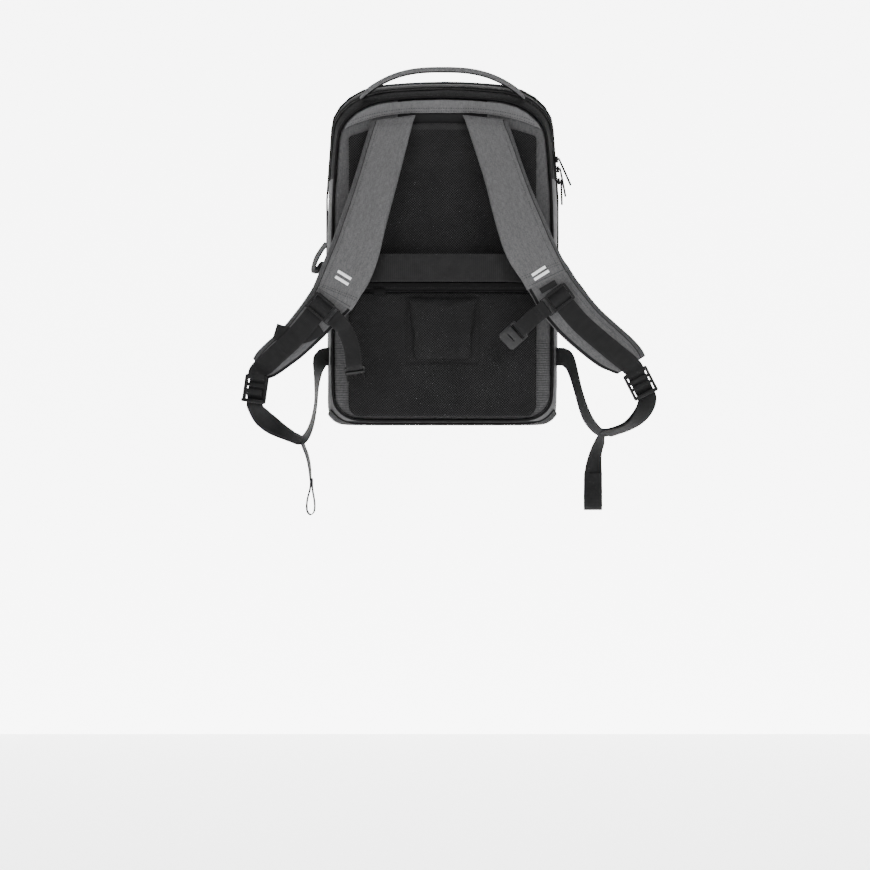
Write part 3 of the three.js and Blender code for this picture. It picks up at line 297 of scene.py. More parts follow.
def ribbed_grey():
    """Two-tone cloth with dark grooves across it lower down, and black between the straps' heads."""
    material, start, x, y, z = begin_finish("ribbed grey border")
    across = x + y
    tone = streaks(start, across, z).step(0.36, 0.64)
    ribs = (z * (1.0 / rib_pitch)).cell()
    where = (z * -1.0).step(-rib_top * 1000, -rib_top * 1000 + 6.0)
    groove = ribs.step(0.32, 0.5) * where
    colour = (groove * 0.55).blend(tone.blend(grey(0.050), grey(0.078)), grey(0.018))
    between_straps = (x.size() * -1.0).step(-black_board_half - 1.0, -black_board_half)
    under_yoke = z.step(black_board_z * 1000 - 1.0, black_board_z * 1000) * between_straps
    colour = under_yoke.blend(colour, grey(0.014))
    return end_finish(material, colour, 0.9, tone * 0.25 - groove * 1.6, 0.0004)


board = cut_from("back_panel", "back_board")
evened(board, 0.003)
for vertex in board.data.vertices:
    vertex.co.y += board_set_back
smooth_faces(board, 60)
settle(board, ribbed_grey(), "grey_fabric", "back_panel")

# The piping: a cord in black tape, sewn into the seam all round the back board.
piping = cut_from("back_piping", "edge_piping")
quads_with_creases(piping, 180)
add_and_apply(piping, "SUBSURF", levels=2, render_levels=2)
smooth_faces(piping, 80)


def black_tape():
    """Black tape with a fine slanting twill."""
    material, start, x, y, z = begin_finish("black woven tape")
    ridge = grain(start, x + y, z, 0.0, 0.9, 0.9)
    twill = ((x + y + z) * (math.tau / 1.3)).sin()
    colour = (ridge * 0.7 + twill * 0.15).step(0.2, 0.8).blend(grey(0.006), grey(0.015))
    return end_finish(material, colour, 0.8, twill * 0.5 + ridge, 0.0002)


tape = black_tape()
settle(piping, tape, "zip_and_piping", "back_piping")

# The yoke: a band of the grey cloth over the shoulders, sewn down along its curved lower edge with
# two rows of thread.
yoke_band = cut_from("yoke", "yoke_band")
evened(yoke_band, 0.0012, 2)
relief(yoke_band, 0.0005, 0.035, 5.0)
smooth_faces(yoke_band, 60)
settle(yoke_band, heather("pale heather grey yoke", 0.122, 0.080), "grey_fabric", "yoke")


def surface_of(piece):
    """A piece's surface, to look for places on it."""
    graph = bpy.context.evaluated_depsgraph_get()
    return BVHTree.FromObject(piece, graph)


def pattern_of_last():
    """The corners and faces of the object just made, which is taken away."""
    last = bpy.context.object
    corners = [v.co.copy() for v in last.data.vertices]
    faces = [tuple(p.vertices) for p in last.data.polygons]
    bpy.data.objects.remove(last)
    return corners, faces


def one_piece(name, points, faces):
    """A piece made of points and faces, with all of its faces turned outward."""
    mesh = bpy.data.meshes.new(name)
    mesh.from_pydata(points, [], faces)
    mesh.validate()
    piece = bpy.data.objects.new(name, mesh)
    bpy.context.scene.collection.objects.link(piece)
    only(piece)
    bpy.ops.object.mode_set(mode="EDIT")
    bpy.ops.mesh.select_all(action="SELECT")
    bpy.ops.mesh.normals_make_consistent(inside=False)
    bpy.ops.object.mode_set(mode="OBJECT")
    return piece


def sewn(name, on, path, thread, pitch=0.0034, length=0.0024):
    """One row of stitches along a path, each laid on the first cloth met when looking along y."""
    toward, reach = Vector((0, 1, 0)), 0.04
    thickness, proud = 0.0007, 0.00012
    bpy.ops.mesh.primitive_uv_sphere_add(segments=6, ring_count=4, radius=0.5)
    shape, faces = pattern_of_last()
    skin = surface_of(on)
    travelled, places = 0.0, []
    for before, after in zip(path, path[1:]):
        step = (after - before).length
        while travelled < step:
            places.append((before.lerp(after, travelled / step), (after - before).normalized()))
            travelled += pitch
        travelled -= step
    points, joined = [], []
    for place, heading in places:
        hit, normal, _, _ = skin.ray_cast(place - toward * reach, toward, reach * 2)
        if hit is None:
            continue
        normal = normal if normal.dot(toward) < 0 else -normal
        side = normal.cross(heading).normalized()
        start = len(points)
        for co in shape:
            along = hit + heading * co.z * length
            points.append(along + side * co.x * thickness + normal * (co.y * thickness + proud))
        joined.extend(tuple(start + i for i in face) for face in faces)
    row = one_piece(name, points, joined)
    bpy.ops.object.shade_smooth()
    return settle(row, thread, "dark_fabric")


def thread_finish(name, level):
    """Twisted thread, a little darker between its strands."""
    material, _, x, _, z = begin_finish(name)
    twist = ((x - z) * (math.tau / 0.7)).sin()
    colour = twist.step(-1.0, 1.0).blend(grey(level * 0.6), grey(level))
    return end_finish(material, colour, 0.6, twist, 0.00008)


dark_thread = thread_finish("dark grey thread", 0.03)
lower_edge = {}
edge_step = 0.006
for vertex in yoke_band.data.vertices:
    key = round(vertex.co.x / edge_step)
    if key not in lower_edge or vertex.co.z < lower_edge[key].z:
        lower_edge[key] = vertex.co.copy()
seam = [lower_edge[key] for key in sorted(lower_edge)][1:-1]
for row, lift in enumerate((0.0022, 0.0062)):
    line = [point + Vector((0, 0, lift)) for point in seam]
    sewn(f"yoke_stitching_{row + 1}", yoke_band, line, dark_thread)

# The air mesh: two padded panels of black spacer fabric, open diamonds in the face over a foam
# core, with soft edges, and pressed in round the rim of the lumbar pad.


def air_mesh(name, pitch, plain_top=None):
    """Crossed slanting bars round open diamonds, with plain cloth above a height if one is given."""
    material, start, x, y, z = begin_finish(name)
    one = ((x + z) * (1.0 / pitch)).cell()
    two = ((x - z) * (1.0 / pitch)).cell()
    away = (one * one + two * two).math("SQRT")
    bars = away.step(0.32, 0.48)
    yarn = grain(start, x + y, z, 0.0, 0.9, 0.9)
    patch = grain(start, x + y, z, 5.0, 45.0, 45.0)
    shade = patch.step(0.3, 0.7)
    if plain_top:
        plain = z.step(plain_top * 1000 - 1.0, plain_top * 1000)
        bars = bars.at_least(plain * 0.55)
    net = (shade * 0.6 + yarn * 0.4).blend(grey(0.019), grey(0.032))
    colour = bars.blend(grey(0.004), net)
    return end_finish(material, colour, 0.85, bars + yarn * 0.2, 0.0008)


lumbar_low, lumbar_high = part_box("lumbar_pad")
lumbar_middle, lumbar_half = (lumbar_low + lumbar_high) / 2, (lumbar_high - lumbar_low) / 2
lumbar_groove, groove_out, groove_width = 0.0016, 0.001, 0.0024
diamond_pitch = 3.5
diamonds = air_mesh("black diamond air mesh", diamond_pitch)
plain_topped = air_mesh("black diamond air mesh with a plain top", diamond_pitch, upper_mesh_top - 0.009)
for node, name, finish in (
    ("back_mesh_upper", "air_mesh_upper", plain_topped),
    ("back_mesh_lower", "air_mesh_lower", diamonds),
):
    panel = cut_from(node, name)
    evened(panel, 0.0016, 1)
    relief(panel, 0.0006, 0.05, 8.0)
    for vertex in panel.data.vertices:
        beside = abs(vertex.co.x - lumbar_middle.x) - lumbar_half.x
        above = abs(vertex.co.z - lumbar_middle.z) - lumbar_half.z
        outside = max(beside, above)
        if vertex.co.y < lumbar_middle.y + 0.02:
            vertex.co.y += lumbar_groove * math.exp(-(((outside - groove_out) / groove_width) ** 2))
    smooth_faces(panel, 60)
    settle(panel, finish, "air_mesh", node)

# The band under the wide strap: plain black cloth with the concealed zip of the strap's pocket
# along its lower edge, and a small bare tag sewn in beside it.


def plain_black(name, level):
    """Plainly woven black cloth, its yarns a little paler and darker than the level."""
    material, start, x, y, z = begin_finish(name)
    across = x + y
    yarn = grain(start, across, z, 0.0, 1.4, 0.7)
    checks = woven(across, z, 0.9)
    colour = (yarn * 0.8 + checks * 0.1).step(0.25, 0.75).blend(grey(level * 0.6), grey(level * 1.25))
    return end_finish(material, colour, 0.85, checks * 0.3 + yarn, 0.00018)


black_cloth = plain_black("plain black polyester", 0.014)
band = cut_from("pocket_band", "pocket_flap")
evened(band, 0.001, 3)
band_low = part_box("pocket_band")[0]
seam_height, seam_width, seam_depth = 0.0035, 0.0010, 0.0012
for vertex in band.data.vertices:
    fold = math.exp(-(((vertex.co.z - band_low.z - seam_height) / seam_width) ** 2))
    if vertex.co.y < band_low.y + 0.002:
        vertex.co.y += seam_depth * fold
relief(band, 0.0003, 0.02, 3.0)
smooth_faces(band, 60)
settle(band, black_cloth, "dark_fabric", "pocket_band")
pocket_line = [Vector((x / 1000, band_low.y, band_low.z + 0.0068)) for x in range(-124, 125, 4)]
sewn("pocket_stitching", band, pocket_line, dark_thread)

tag = cut_from("seam_tag", "bare_seam_tag")
add_and_apply(tag, "BEVEL", width=0.0002, segments=2)
smooth_faces(tag, 40)
settle(tag, plain_black("smooth black tag", 0.012), "dark_fabric", "seam_tag")

# The lumbar pad: thick foam under the same mesh, pressed out in a rounded block. Its cloth is
# drawn tight, so it is swollen by the cloth solver and held within 2 mm of its cut.


def swollen(piece, pressure, cap, shrink, loose=None):
    """Lets an evenly meshed pad's cover swell round the foam, and caps how far a point may go.
    Loose holds each point's share of that, so that sewn ends keep their shape."""
    cover_stiffness, last_frame = 30, 20
    mesh = piece.data
    loose = loose or [1.0] * len(mesh.vertices)
    first = [v.co.copy() for v in mesh.vertices]
    for vertex, normal in zip(mesh.vertices, [v.normal.copy() for v in mesh.vertices]):
        vertex.co -= normal * shrink
    still = [v.co.copy() for v in mesh.vertices]
    cloth = piece.modifiers.new("Cover", "CLOTH")
    cloth.settings.effector_weights.gravity = 0
    cloth.settings.use_pressure = True
    cloth.settings.uniform_pressure_force = pressure
    cloth.settings.quality = 5
    cloth.settings.tension_stiffness = cover_stiffness
    cloth.settings.compression_stiffness = cover_stiffness
    cloth.point_cache.frame_start = 1
    cloth.point_cache.frame_end = last_frame
    scene = bpy.context.scene
    for number in range(1, last_frame + 1):
        scene.frame_set(number)
    blown = piece.evaluated_get(bpy.context.evaluated_depsgraph_get()).data
    moved = [v.co.copy() for v in blown.vertices]
    piece.modifiers.remove(cloth)
    scene.frame_set(1)
    for vertex, sewn_place, start, end, share in zip(mesh.vertices, first, still, moved, loose):
        way = end - start
        if way.length > cap:
            way = way.normalized() * cap
        vertex.co = sewn_place.lerp(start + way, share)


lumbar = cut_from("lumbar_pad", "lumbar_cushion")
evened(lumbar, 0.004)
swollen(lumbar, pressure=4.0, cap=0.0016, shrink=0.0008)
add_and_apply(lumbar, "SUBSURF", levels=1, render_levels=1)
smooth_faces(lumbar, 60)
settle(lumbar, diamonds, "air_mesh", "lumbar_pad")

# The wide strap: black webbing with ribs across it, sewn to the back at both ends so that it
# stands off in the middle and leaves a passage behind it.


def rings_of(node, count):
    """The rings of a solid that was made ring by ring, in order, as lists of places."""
    solid = cut_from(node, "measure")
    shape = bmesh.new()
    shape.from_mesh(solid.data)
    bpy.data.objects.remove(solid)

    def cycle(members, first):
        ordered, left = [first], set(members) - {first}
        while left:
            linked = [e.other_vert(ordered[-1]) for e in ordered[-1].link_edges]
            following = [v for v in linked if v in left]
            if not following:
                break
            ordered.append(min(following, key=lambda v: v.index))
            left.remove(ordered[-1])
        return ordered

    def around(cap):
        """The ring round a cap's middle, found through the cap's own faces."""
        pairs = [[v for v in face.verts if v != cap] for face in cap.link_faces]
        ordered = list(pairs[0])
        while len(ordered) < count:
            for pair in pairs:
                if ordered[-1] in pair:
                    other = pair[0] if pair[1] == ordered[-1] else pair[1]
                    if other not in ordered:
                        ordered.append(other)
                        break
        return ordered

    def off_middle(cap):
        """How far a corner lies from the mean of its neighbours: nothing for the middle of an end."""
        near = [edge.other_vert(cap).co for edge in cap.link_edges]
        return (sum(near, Vector()) / len(near) - cap.co).length

    cap = min((v for v in shape.verts if len(v.link_edges) == count), key=off_middle)
    rings = [around(cap)]
    seen = {cap, *rings[0]}
    while True:
        following = {e.other_vert(v) for v in rings[-1] for e in v.link_edges} - seen
        if len(following) < count:
            break
        near = min(following, key=lambda v: (v.co - rings[-1][0].co).length)
        ordered = cycle(following, near)
        before = [v.co for v in rings[-1]]
        best = None
        for turned in (ordered, [ordered[0]] + ordered[:0:-1]):
            for shift in range(count):
                tried = turned[shift:] + turned[:shift]
                gap = sum((v.co - co).length for v, co in zip(tried, before))
                if best is None or gap < best[0]:
                    best = (gap, tried)
        rings.append(best[1])
        seen |= following
    places = [[v.co.copy() for v in ring] for ring in rings]
    shape.free()
    return places


def bend(points, reach, share):
    """The place at a share of the way from the second to the third of four points, on the smooth
    curve through them. The reach of each stretch is the square root of its length."""
    a, b, c, d = points
    one, two, three = reach
    into = (c - b) + ((b - a) / one - (c - a) / (one + two)) * two
    out = (c - b) + ((d - c) / three - (d - b) / (two + three)) * two
    square = 3 * (c - b) - 2 * into - out
    return b + into * share + square * share**2 + (2 * (b - c) + into + out) * share**3


def even_places(keys, spacing):
    """Rows of points on smooth curves through key rows, evenly spaced along the first column."""
    before = [2 * b - c for b, c in zip(keys[0], keys[1])]
    after = [2 * b - a for a, b in zip(keys[-2], keys[-1])]
    keys = [before, *keys, after]
    rows = []
    for i in range(1, len(keys) - 2):
        window = keys[i - 1 : i + 3]
        reach = [max((b[0] - a[0]).length, 1e-5) ** 0.5 for a, b in zip(window, window[1:])]
        parts = max(1, round(reach[1] ** 2 / spacing))
        for part in range(parts):
            rows.append([bend(column, reach, part / parts) for column in zip(*window)])
    rows.append(list(keys[-2]))
    return rows


def lofted(name, rings, measure, edge=None):
    """A closed roll of cloth from a grid: columns run round each ring, rows run along. The UV map
    holds metres round and along it. A second one may hold the distance from one edge."""
    around, along = len(rings[0]) + 1, len(rings)
    bpy.ops.mesh.primitive_grid_add(x_subdivisions=around - 1, y_subdivisions=along - 1, size=2)
    roll = bpy.context.object
    roll.name = roll.data.name = name
    mesh = roll.data
    index = []
    for vertex in mesh.vertices:
        i = round((vertex.co.x + 1) / 2 * (around - 1))
        j = round((vertex.co.y + 1) / 2 * (along - 1))
        index.append((i, j))
    for vertex, (i, j) in zip(mesh.vertices, index):
        vertex.co = rings[j][i % (around - 1)]
    lengths = [0.0]
    for before, after in zip(rings, rings[1:]):
        lengths.append(lengths[-1] + sum((b - a).length for a, b in zip(before, after)) / len(before))
    layer = mesh.uv_layers.active.data
    for loop in mesh.loops:
        i, j = index[loop.vertex_index]
        layer[loop.index].uv = (measure(j, i), lengths[j])
    if edge:
        reach = mesh.uv_layers.new(name="Edge").data
        for loop in mesh.loops:
            i, j = index[loop.vertex_index]
            reach[loop.index].uv = (edge(j, i), lengths[j])
    only(roll)
    bpy.ops.object.mode_set(mode="EDIT")
    bpy.ops.mesh.select_all(action="SELECT")
    bpy.ops.mesh.remove_doubles(threshold=1e-6)
    bpy.ops.mesh.select_all(action="DESELECT")
    bpy.ops.mesh.select_non_manifold()
    bpy.ops.transform.edge_crease(value=0.8)
    bpy.ops.mesh.edge_face_add()
    bpy.ops.mesh.select_all(action="SELECT")
    bpy.ops.mesh.normals_make_consistent(inside=False)
    bpy.ops.object.mode_set(mode="OBJECT")
    return roll


# Half of a webbing's section, in shares of its half width and half thickness. The other half is the
# same, turned about the middle.
webbing_half = [
    (-1, -0.25), (-0.985, -0.8), (-0.94, -1), (-0.5, -1), (0, -1),
    (0.5, -1), (0.94, -1), (0.985, -0.8), (1, -0.25),
]
webbing_section = webbing_half + [(-u, -v) for u, v in webbing_half]


def webbing_keys(node):
    """Each ring of a webbing's solid as its middle, its width and its thickness."""
    keys = []
    for ring in rings_of(node, 4):
        wide = (ring[1] + ring[2] - ring[0] - ring[3]) / 2
        thick = (ring[3] + ring[2] - ring[0] - ring[1]) / 2
        keys.append([sum(ring, Vector()) / 4, wide, thick])
    if keys[0][1].length < keys[0][2].length:
        keys = [[middle, thick, -wide] for middle, wide, thick in keys]
    return keys


def webbing(name, keys, finish, nodes=(), ripple=None):
    """Woven webbing through its keys, with rounded selvedges."""
    spacing = 0.0025
    wide_size, thick_size = keys[0][1].length / 2, keys[0][2].length / 2
    rings, travelled, last = [], 0.0, None
    for middle, wide, thick in even_places(keys, spacing):
        wide, thick = wide.normalized(), thick.normalized()
        travelled += (middle - last).length if last else 0.0
        last = middle.copy()
        lift = ripple(travelled) if ripple else 0.0
        rings.append([
            middle + wide * (u * wide_size) + thick * (v * thick_size + lift)
            for u, v in webbing_section
        ])
    flat = [u for u, _ in webbing_section] + [webbing_section[0][0]]
    ribbon = lofted(name, rings, lambda j, i: flat[i] * wide_size)
    smooth_faces(ribbon, 50)
    return settle(ribbon, finish, "webbing", *nodes)


def webbing_finish(name, pale, dark, rib, groove_share, half_width):
    """Ribs across the webbing at one pitch in millimetres, with dark grooves and paler selvedges."""
    material, start = begin_finish(name)[:2]
    map_uv = start.make("ShaderNodeUVMap", {"uv_map": "UVMap"}, {})
    axes = {"Vector": map_uv}
    across, along = (start.make("ShaderNodeSeparateXYZ", {}, axes, i) * 1000.0 for i in range(2))
    ribs = (along * (1.0 / rib)).cell()
    weave = (across * (math.tau / 1.3)).sin() * (along * (math.tau / rib)).sin()
    yarn = start.make("ShaderNodeTexNoise", {}, {"Vector": map_uv, "Scale": 1400.0, "Detail": 2.0})
    patch = start.make("ShaderNodeTexNoise", {}, {"Vector": map_uv, "Scale": 60.0})
    edge = across.size().step(half_width * 1000 - 2.4, half_width * 1000 - 1.6)
    groove = ribs.step(0.34, 0.5)
    tone = (yarn * 0.5 + patch * 0.4 + weave * 0.08).step(0.2, 0.75)
    colour = (groove * groove_share).blend(tone.blend(grey(dark), grey(pale)), grey(dark * 0.45))
    colour = (edge * 0.25).blend(colour, grey(pale * 1.3))
    return end_finish(material, colour, 0.7, weave * 0.5 - groove * 0.8 + edge * 0.4, 0.00028, 0.1)


wide_webbing = webbing_finish("wide ribbed webbing", 0.021, 0.012, 2.75, 0.80, 0.019)
webbing("sleeve_strap", webbing_keys("luggage_strap"), wide_webbing, ["luggage_strap"])

# The base: a tough black cloth that wraps up round the lower corners, with a bound upper edge.
base = cut_from("base_panel", "base_wrap")
quads_with_creases(base, 50)
add_and_apply(base, "SUBSURF", levels=2, render_levels=2)
smooth_faces(base, 50)
settle(base, plain_black("coated black base cloth", 0.013), "dark_fabric", "base_panel")

# The zips: woven tape over the gussets, with a row of moulded teeth along the middle, and sliders
# that carry ring pulls on the right side.


def zip_tape(node, name):
    """The zip's woven tape, as it was cut."""
    strip = cut_from(node, name)
    quads_with_creases(strip, 180)
    smooth_faces(strip, 30)
    return settle(strip, tape, "zip_and_piping", node)


teeth_plastic = bpy.data.materials.new("black moulded zip teeth")
tooth_wide, tooth_high, tooth_long = 0.0024, 0.0009, 0.0011
tooth_pitch, tooth_stagger = 0.0016, 0.0004
looks_round = 1440
for node in ("laptop_zip", "main_zip"):
    low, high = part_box(node)
    depth = (low.y + high.y) / 2
    skin = surface_of(zip_tape(node, node.replace("zip", "zip_tape")))
    bpy.ops.mesh.primitive_cube_add(size=1)
    only(bpy.context.object)
    bpy.ops.object.mode_set(mode="EDIT")
    bpy.ops.mesh.bevel(offset=0.18, segments=1, affect="EDGES")
    bpy.ops.object.mode_set(mode="OBJECT")
    shape, faces = pattern_of_last()
    points, joined = [], []
    centre = Vector((0, depth, (base_z + high.z) / 2 + 0.05))
    route = []
    for number in range(looks_round + 1):
        angle = math.tau * number / looks_round
        way = Vector((math.sin(angle), 0, math.cos(angle)))
        hit, normal, _, _ = skin.ray_cast(centre + way * 0.6, -way, 0.58)
        if hit is not None and (not route or (hit - route[-1][0]).length < 0.02):
            route.append((hit, normal))
        elif hit is not None:
            route = [(hit, normal)] if len(route) < 40 else route
    travelled, side = 0.0, 1
    for (before, normal), (after, _) in zip(route, route[1:]):
        step = (after - before).length
        while travelled < step and step > 1e-6:
            heading = (after - before).normalized()
            place = before.lerp(after, travelled / step)
            start = len(points)
            for co in shape:
                aside = Vector((0, 1, 0)) * (co.x * tooth_wide + side * tooth_stagger)
                points.append(place + heading * co.z * tooth_long + aside + normal * (co.y * tooth_high))
            joined.extend(tuple(start + i for i in face) for face in faces)
            travelled += tooth_pitch
            side = -side
        travelled -= step
    settle(one_piece(node + "_teeth", points, joined), teeth_plastic, "zip_and_piping")


def worn_paint(material, level):
    """Satin black paint, a little rough and paler where hands rub it."""
    material.use_nodes = True
    start = Wire(material.node_tree)
    place = on_object(start)
    fine = start.make("ShaderNodeTexNoise", {}, {"Vector": place, "Scale": 900.0, "Detail": 3.0})
    broad = start.make("ShaderNodeTexNoise", {}, {"Vector": place, "Scale": 120.0})
    wear = (fine * 0.4 + broad * 0.6).step(0.5, 0.7)
    colour = (wear * 0.5).blend(grey(level), grey(level * 2.2))
    return end_finish(material, colour, 0.32 + fine * 0.2, fine, 0.00006)


worn_paint(teeth_plastic, 0.010)
pull_paint = worn_paint(bpy.data.materials.new("satin black zip pull"), 0.012)


def dress(node, finish, slot, bevel, fuller=0.0):
    """Keeps a moulded solid's own shape, rounds its edges and may make it a little fuller."""
    sharp_degrees = 35
    piece = cut_from(node, node + "_moulded")
    sharp = {"limit_method": "ANGLE", "angle_limit": math.radians(sharp_degrees)}
    add_and_apply(piece, "BEVEL", width=bevel, segments=2, **sharp)
    for vertex, normal in zip(piece.data.vertices, [v.normal.copy() for v in piece.data.vertices]):
        vertex.co += normal * fuller
    smooth_faces(piece, sharp_degrees)
    return settle(piece, finish, slot, node)


for number in (1, 2, 3):
    dress(f"zip_slider_{number}", pull_paint, "zip_pull", 0.0006)
    dress(f"zip_pull_{number}", pull_paint, "zip_pull", 0.0003, fuller=0.0004)

# The grab handle: a padded roll, heather grey on top and black webbing below, sewn into the seam
# at both ends. It arches over the top of the bag.


def rounded(ring, parts):
    """A closed smooth line through one ring's points, each stretch cut into its number of parts."""
    count = len(ring)
    line = []
    for k in range(count):
        points = [ring[(k + step) % count] for step in (-1, 0, 1, 2)]
        reach = [max((b - a).length, 1e-5) ** 0.5 for a, b in zip(points, points[1:])]
        line.extend(bend(points, reach, part / parts[k]) for part in range(parts[k]))
    return line


def padded_roll(name, keys, spacing, first):
    """A padded roll through key rings. Its UV map holds metres round each ring, counted back from
    one key point, and metres along. Its second map holds the distance from the middle of the
    stretch between key points 1 and 2, counted from 0."""
    part_length = 0.0024
    middle = keys[len(keys) // 2]
    stretches = [(b - a).length for a, b in zip(middle, middle[1:] + middle[:1])]
    parts = [max(2, round(stretch / part_length)) for stretch in stretches]
    rings = [rounded(row, parts) for row in even_places(keys, spacing)]
    start = sum(parts[:first])
    rounds, edges = [], []
    for ring in rings:
        travelled = [0.0]
        for a, b in zip(ring, ring[1:] + ring[:1]):
            travelled.append(travelled[-1] + (b - a).length)
        rounds.append([travelled[start] - length for length in travelled])
        edges.append([abs(length - travelled[parts[0] + parts[1] // 2]) for length in travelled])
    return lofted(name, rings, lambda j, i: rounds[j][i], lambda j, i: edges[j][i])


def cloth_axes(start, layer="UVMap"):
    """Millimetres round and along a sewn roll, from one of its UV maps."""
    place = start.make("ShaderNodeUVMap", {"uv_map": layer}, {})
    return [start.make("ShaderNodeSeparateXYZ", {}, {"Vector": place}, i) * 1000.0 for i in range(2)]


def yarns_of(start, across, along):
    """The pale share of two-tone yarns, and the relief of their weave."""
    tone = streaks(start, across, along).step(0.36, 0.64)
    return tone, woven(across, along, yarn_pitch) * 0.25 + tone * 0.3


def handle_finish():
    """Heather grey on top, and black from 7.5 mm off the roll's top line."""
    material, start = begin_finish("grey and black handle")[:2]
    across, along = cloth_axes(start)
    tone, weave = yarns_of(start, across, along)
    below = across.size().step(7.2, 7.8)
    colour = below.blend(tone.blend(grey(0.06), grey(0.13)), tone.blend(grey(0.006), grey(0.015)))
    return end_finish(material, colour, 0.9, weave - below * 1.2, 0.0004)


handle_rings = rings_of("top_handle", 8)
top_point = max(range(8), key=lambda k: sum(ring[k].z for ring in handle_rings))
handle = padded_roll("grab_handle", handle_rings, 0.003, top_point)
smooth_faces(handle, 60)
settle(handle, handle_finish(), "dark_fabric", "top_handle")

# The shoulder straps: foam pads in two panels, the upper one lapping over the lower. The face is
# heather grey, a darker strip of the same cloth goes round the outer edge and black tape binds the
# lower panel's inner edge.


def strap_rings(node):
    """A strap's rings from the top down, counted from the inner edge over the face to the outer."""
    rings = rings_of(node, 9)
    crest = min(range(9), key=lambda k: sum(ring[k].y for ring in rings))
    spread = [sum(abs(ring[(crest + step) % 9].x) for ring in rings) for step in (1, -1)]
    step = 1 if spread[0] > spread[1] else -1
    rings = [[ring[(crest + step * (k - 3)) % 9] for k in range(9)] for ring in rings]
    return rings if rings[0][0].z > rings[-1][0].z else rings[::-1]


def strap_finish(name, light, dark, strip, bound):
    """Heather grey with the darker edge strip and a dark line on its seam, which is painted shade in the
    seam's groove, and black tape on the inner edge where it is bound.
    """
    material, start = begin_finish(name)[:2]
    across, along = cloth_axes(start)
    tone, weave = yarns_of(start, across, along)
    colour = tone.blend(grey(dark), grey(light))
    edge = (across * -1.0).step(-strip - 0.3, -strip + 0.3)
    colour = edge.blend(colour, tone.blend(grey(dark * 0.6), grey(light * 0.65)))
    # The near-black line along the edge strip's seam is painted shade, for the shade in the groove sunk
    # there.
    seam = (across - strip).size().step(0.2, 0.9)
    colour = seam.blend(grey(0.015), colour)
    if bound:
        inner = cloth_axes(start, "Edge")[0]
        colour = inner.step(bound - 0.2, bound + 0.2).blend(grey(0.008), colour)
    return end_finish(material, colour, 0.9, weave + seam, 0.0004)


def tucked(keys):
    """A ring before the first one, drawn in, where a panel's end is tucked under the next panel."""
    middle, after = (sum(ring, Vector()) / len(ring) for ring in keys[:2])
    back = (middle - after).normalized() * 0.005 + Vector((0, 0.0008, 0))
    return [middle + (point - middle) * 0.95 + back for point in keys[0]]


outer_edge = 5
pad_spacing = 0.004
sewn_reach = 0.014
edge_strip = 8.0
bound_edge = 2.4
strap_cloth = {
    "upper": strap_finish("strap face polyester", 0.112, 0.074, edge_strip, 0),
    "lower": strap_finish("lower strap face polyester", 0.098, 0.062, edge_strip, bound_edge),
}
strap_pads = {}
for panel in ("upper", "lower"):
    for side in ("left", "right"):
        node = f"strap_{panel}_{side}"
        keys = strap_rings(node)
        if panel == "lower":
            keys.insert(0, tucked(keys))
        pad = padded_roll(f"{panel}_strap_pad_{side}", keys, pad_spacing, outer_edge)
        layer = pad.data.uv_layers["UVMap"].data
        reach = {loop.vertex_index: layer[loop.index].uv[0] for loop in pad.data.loops}
        along = {loop.vertex_index: layer[loop.index].uv[1] for loop in pad.data.loops}
        last = max(along.values())
        loose = [min(1.0, along[i] / sewn_reach, (last - along[i]) / sewn_reach) for i in range(len(along))]
        swollen(pad, pressure=3.0, cap=0.0014, shrink=0.0006, loose=loose)
        for vertex in pad.data.vertices:
            seam_share = math.exp(-(((reach[vertex.index] - edge_strip / 1000) / 0.0016) ** 2))
            vertex.co -= vertex.normal * (0.0007 * seam_share)
        add_and_apply(pad, "SUBSURF", levels=1, render_levels=1)
        smooth_faces(pad, 60)
        settle(pad, strap_cloth[panel], "grey_fabric", node)
        strap_pads[panel, side] = pad


def strap_line(side, panel, shares, rows):
    """A line over a strap's face: shares across it, at row positions counted from the top."""
    rings = even_places(strap_rings(f"strap_{panel}_{side}"), pad_spacing)
    points = []
    for share, row in zip(shares, rows):
        at = row * (len(rings) - 1)
        ring = rings[min(int(round(at)), len(rings) - 1)]
        points.append(ring[0].lerp(ring[outer_edge], share))
    return points


grey_thread = thread_finish("grey thread", 0.055)
over_face = (0.08, 0.3, 0.5, 0.7, 0.9)
for side in ("left", "right"):
    for row, height in enumerate((0.930, 0.945)):
        line = strap_line(side, "upper", over_face, (height,) * 5)
        sewn(f"lap_stitching_{side}_{row + 1}", strap_pads["upper", side], line, dark_thread)
    # A close-stitched dark thread near the upper panel's lower end is a painted shadow: the shade where
    # that end steps down over the lower panel.
    line = strap_line(side, "upper", over_face, (0.98,) * 5)
    sewn(f"lap_shadow_line_{side}", strap_pads["upper", side], line, dark_thread, 0.0018, 0.0022)
    for panel in ("upper", "lower"):
        steps = [0.03 + 0.94 * i / 40 for i in range(41)]
        line = strap_line(side, panel, (0.80,) * 41, steps)
        sewn(f"edge_stitching_{panel}_{side}", strap_pads[panel, side], line, grey_thread)

# The strap webbing: black ribbed polyester, 27 mm wide on the pads, 25 mm in the adjusters and
# 22 mm in the sternum strap and the side tab, with a fold through each ladder lock.
ribbed = {}
for size in (22, 25, 27):
    ribbed[size] = webbing_finish(f"black {size} mm webbing", 0.017, 0.010, 1.9, 0.55, size / 2000)


def ripple(travelled):
    """The slight waves of webbing that lies on a soft pad, in metres off its line."""
    return 0.0002 * (math.sin(travelled * math.tau / 0.011) + math.sin(travelled * math.tau / 0.017))


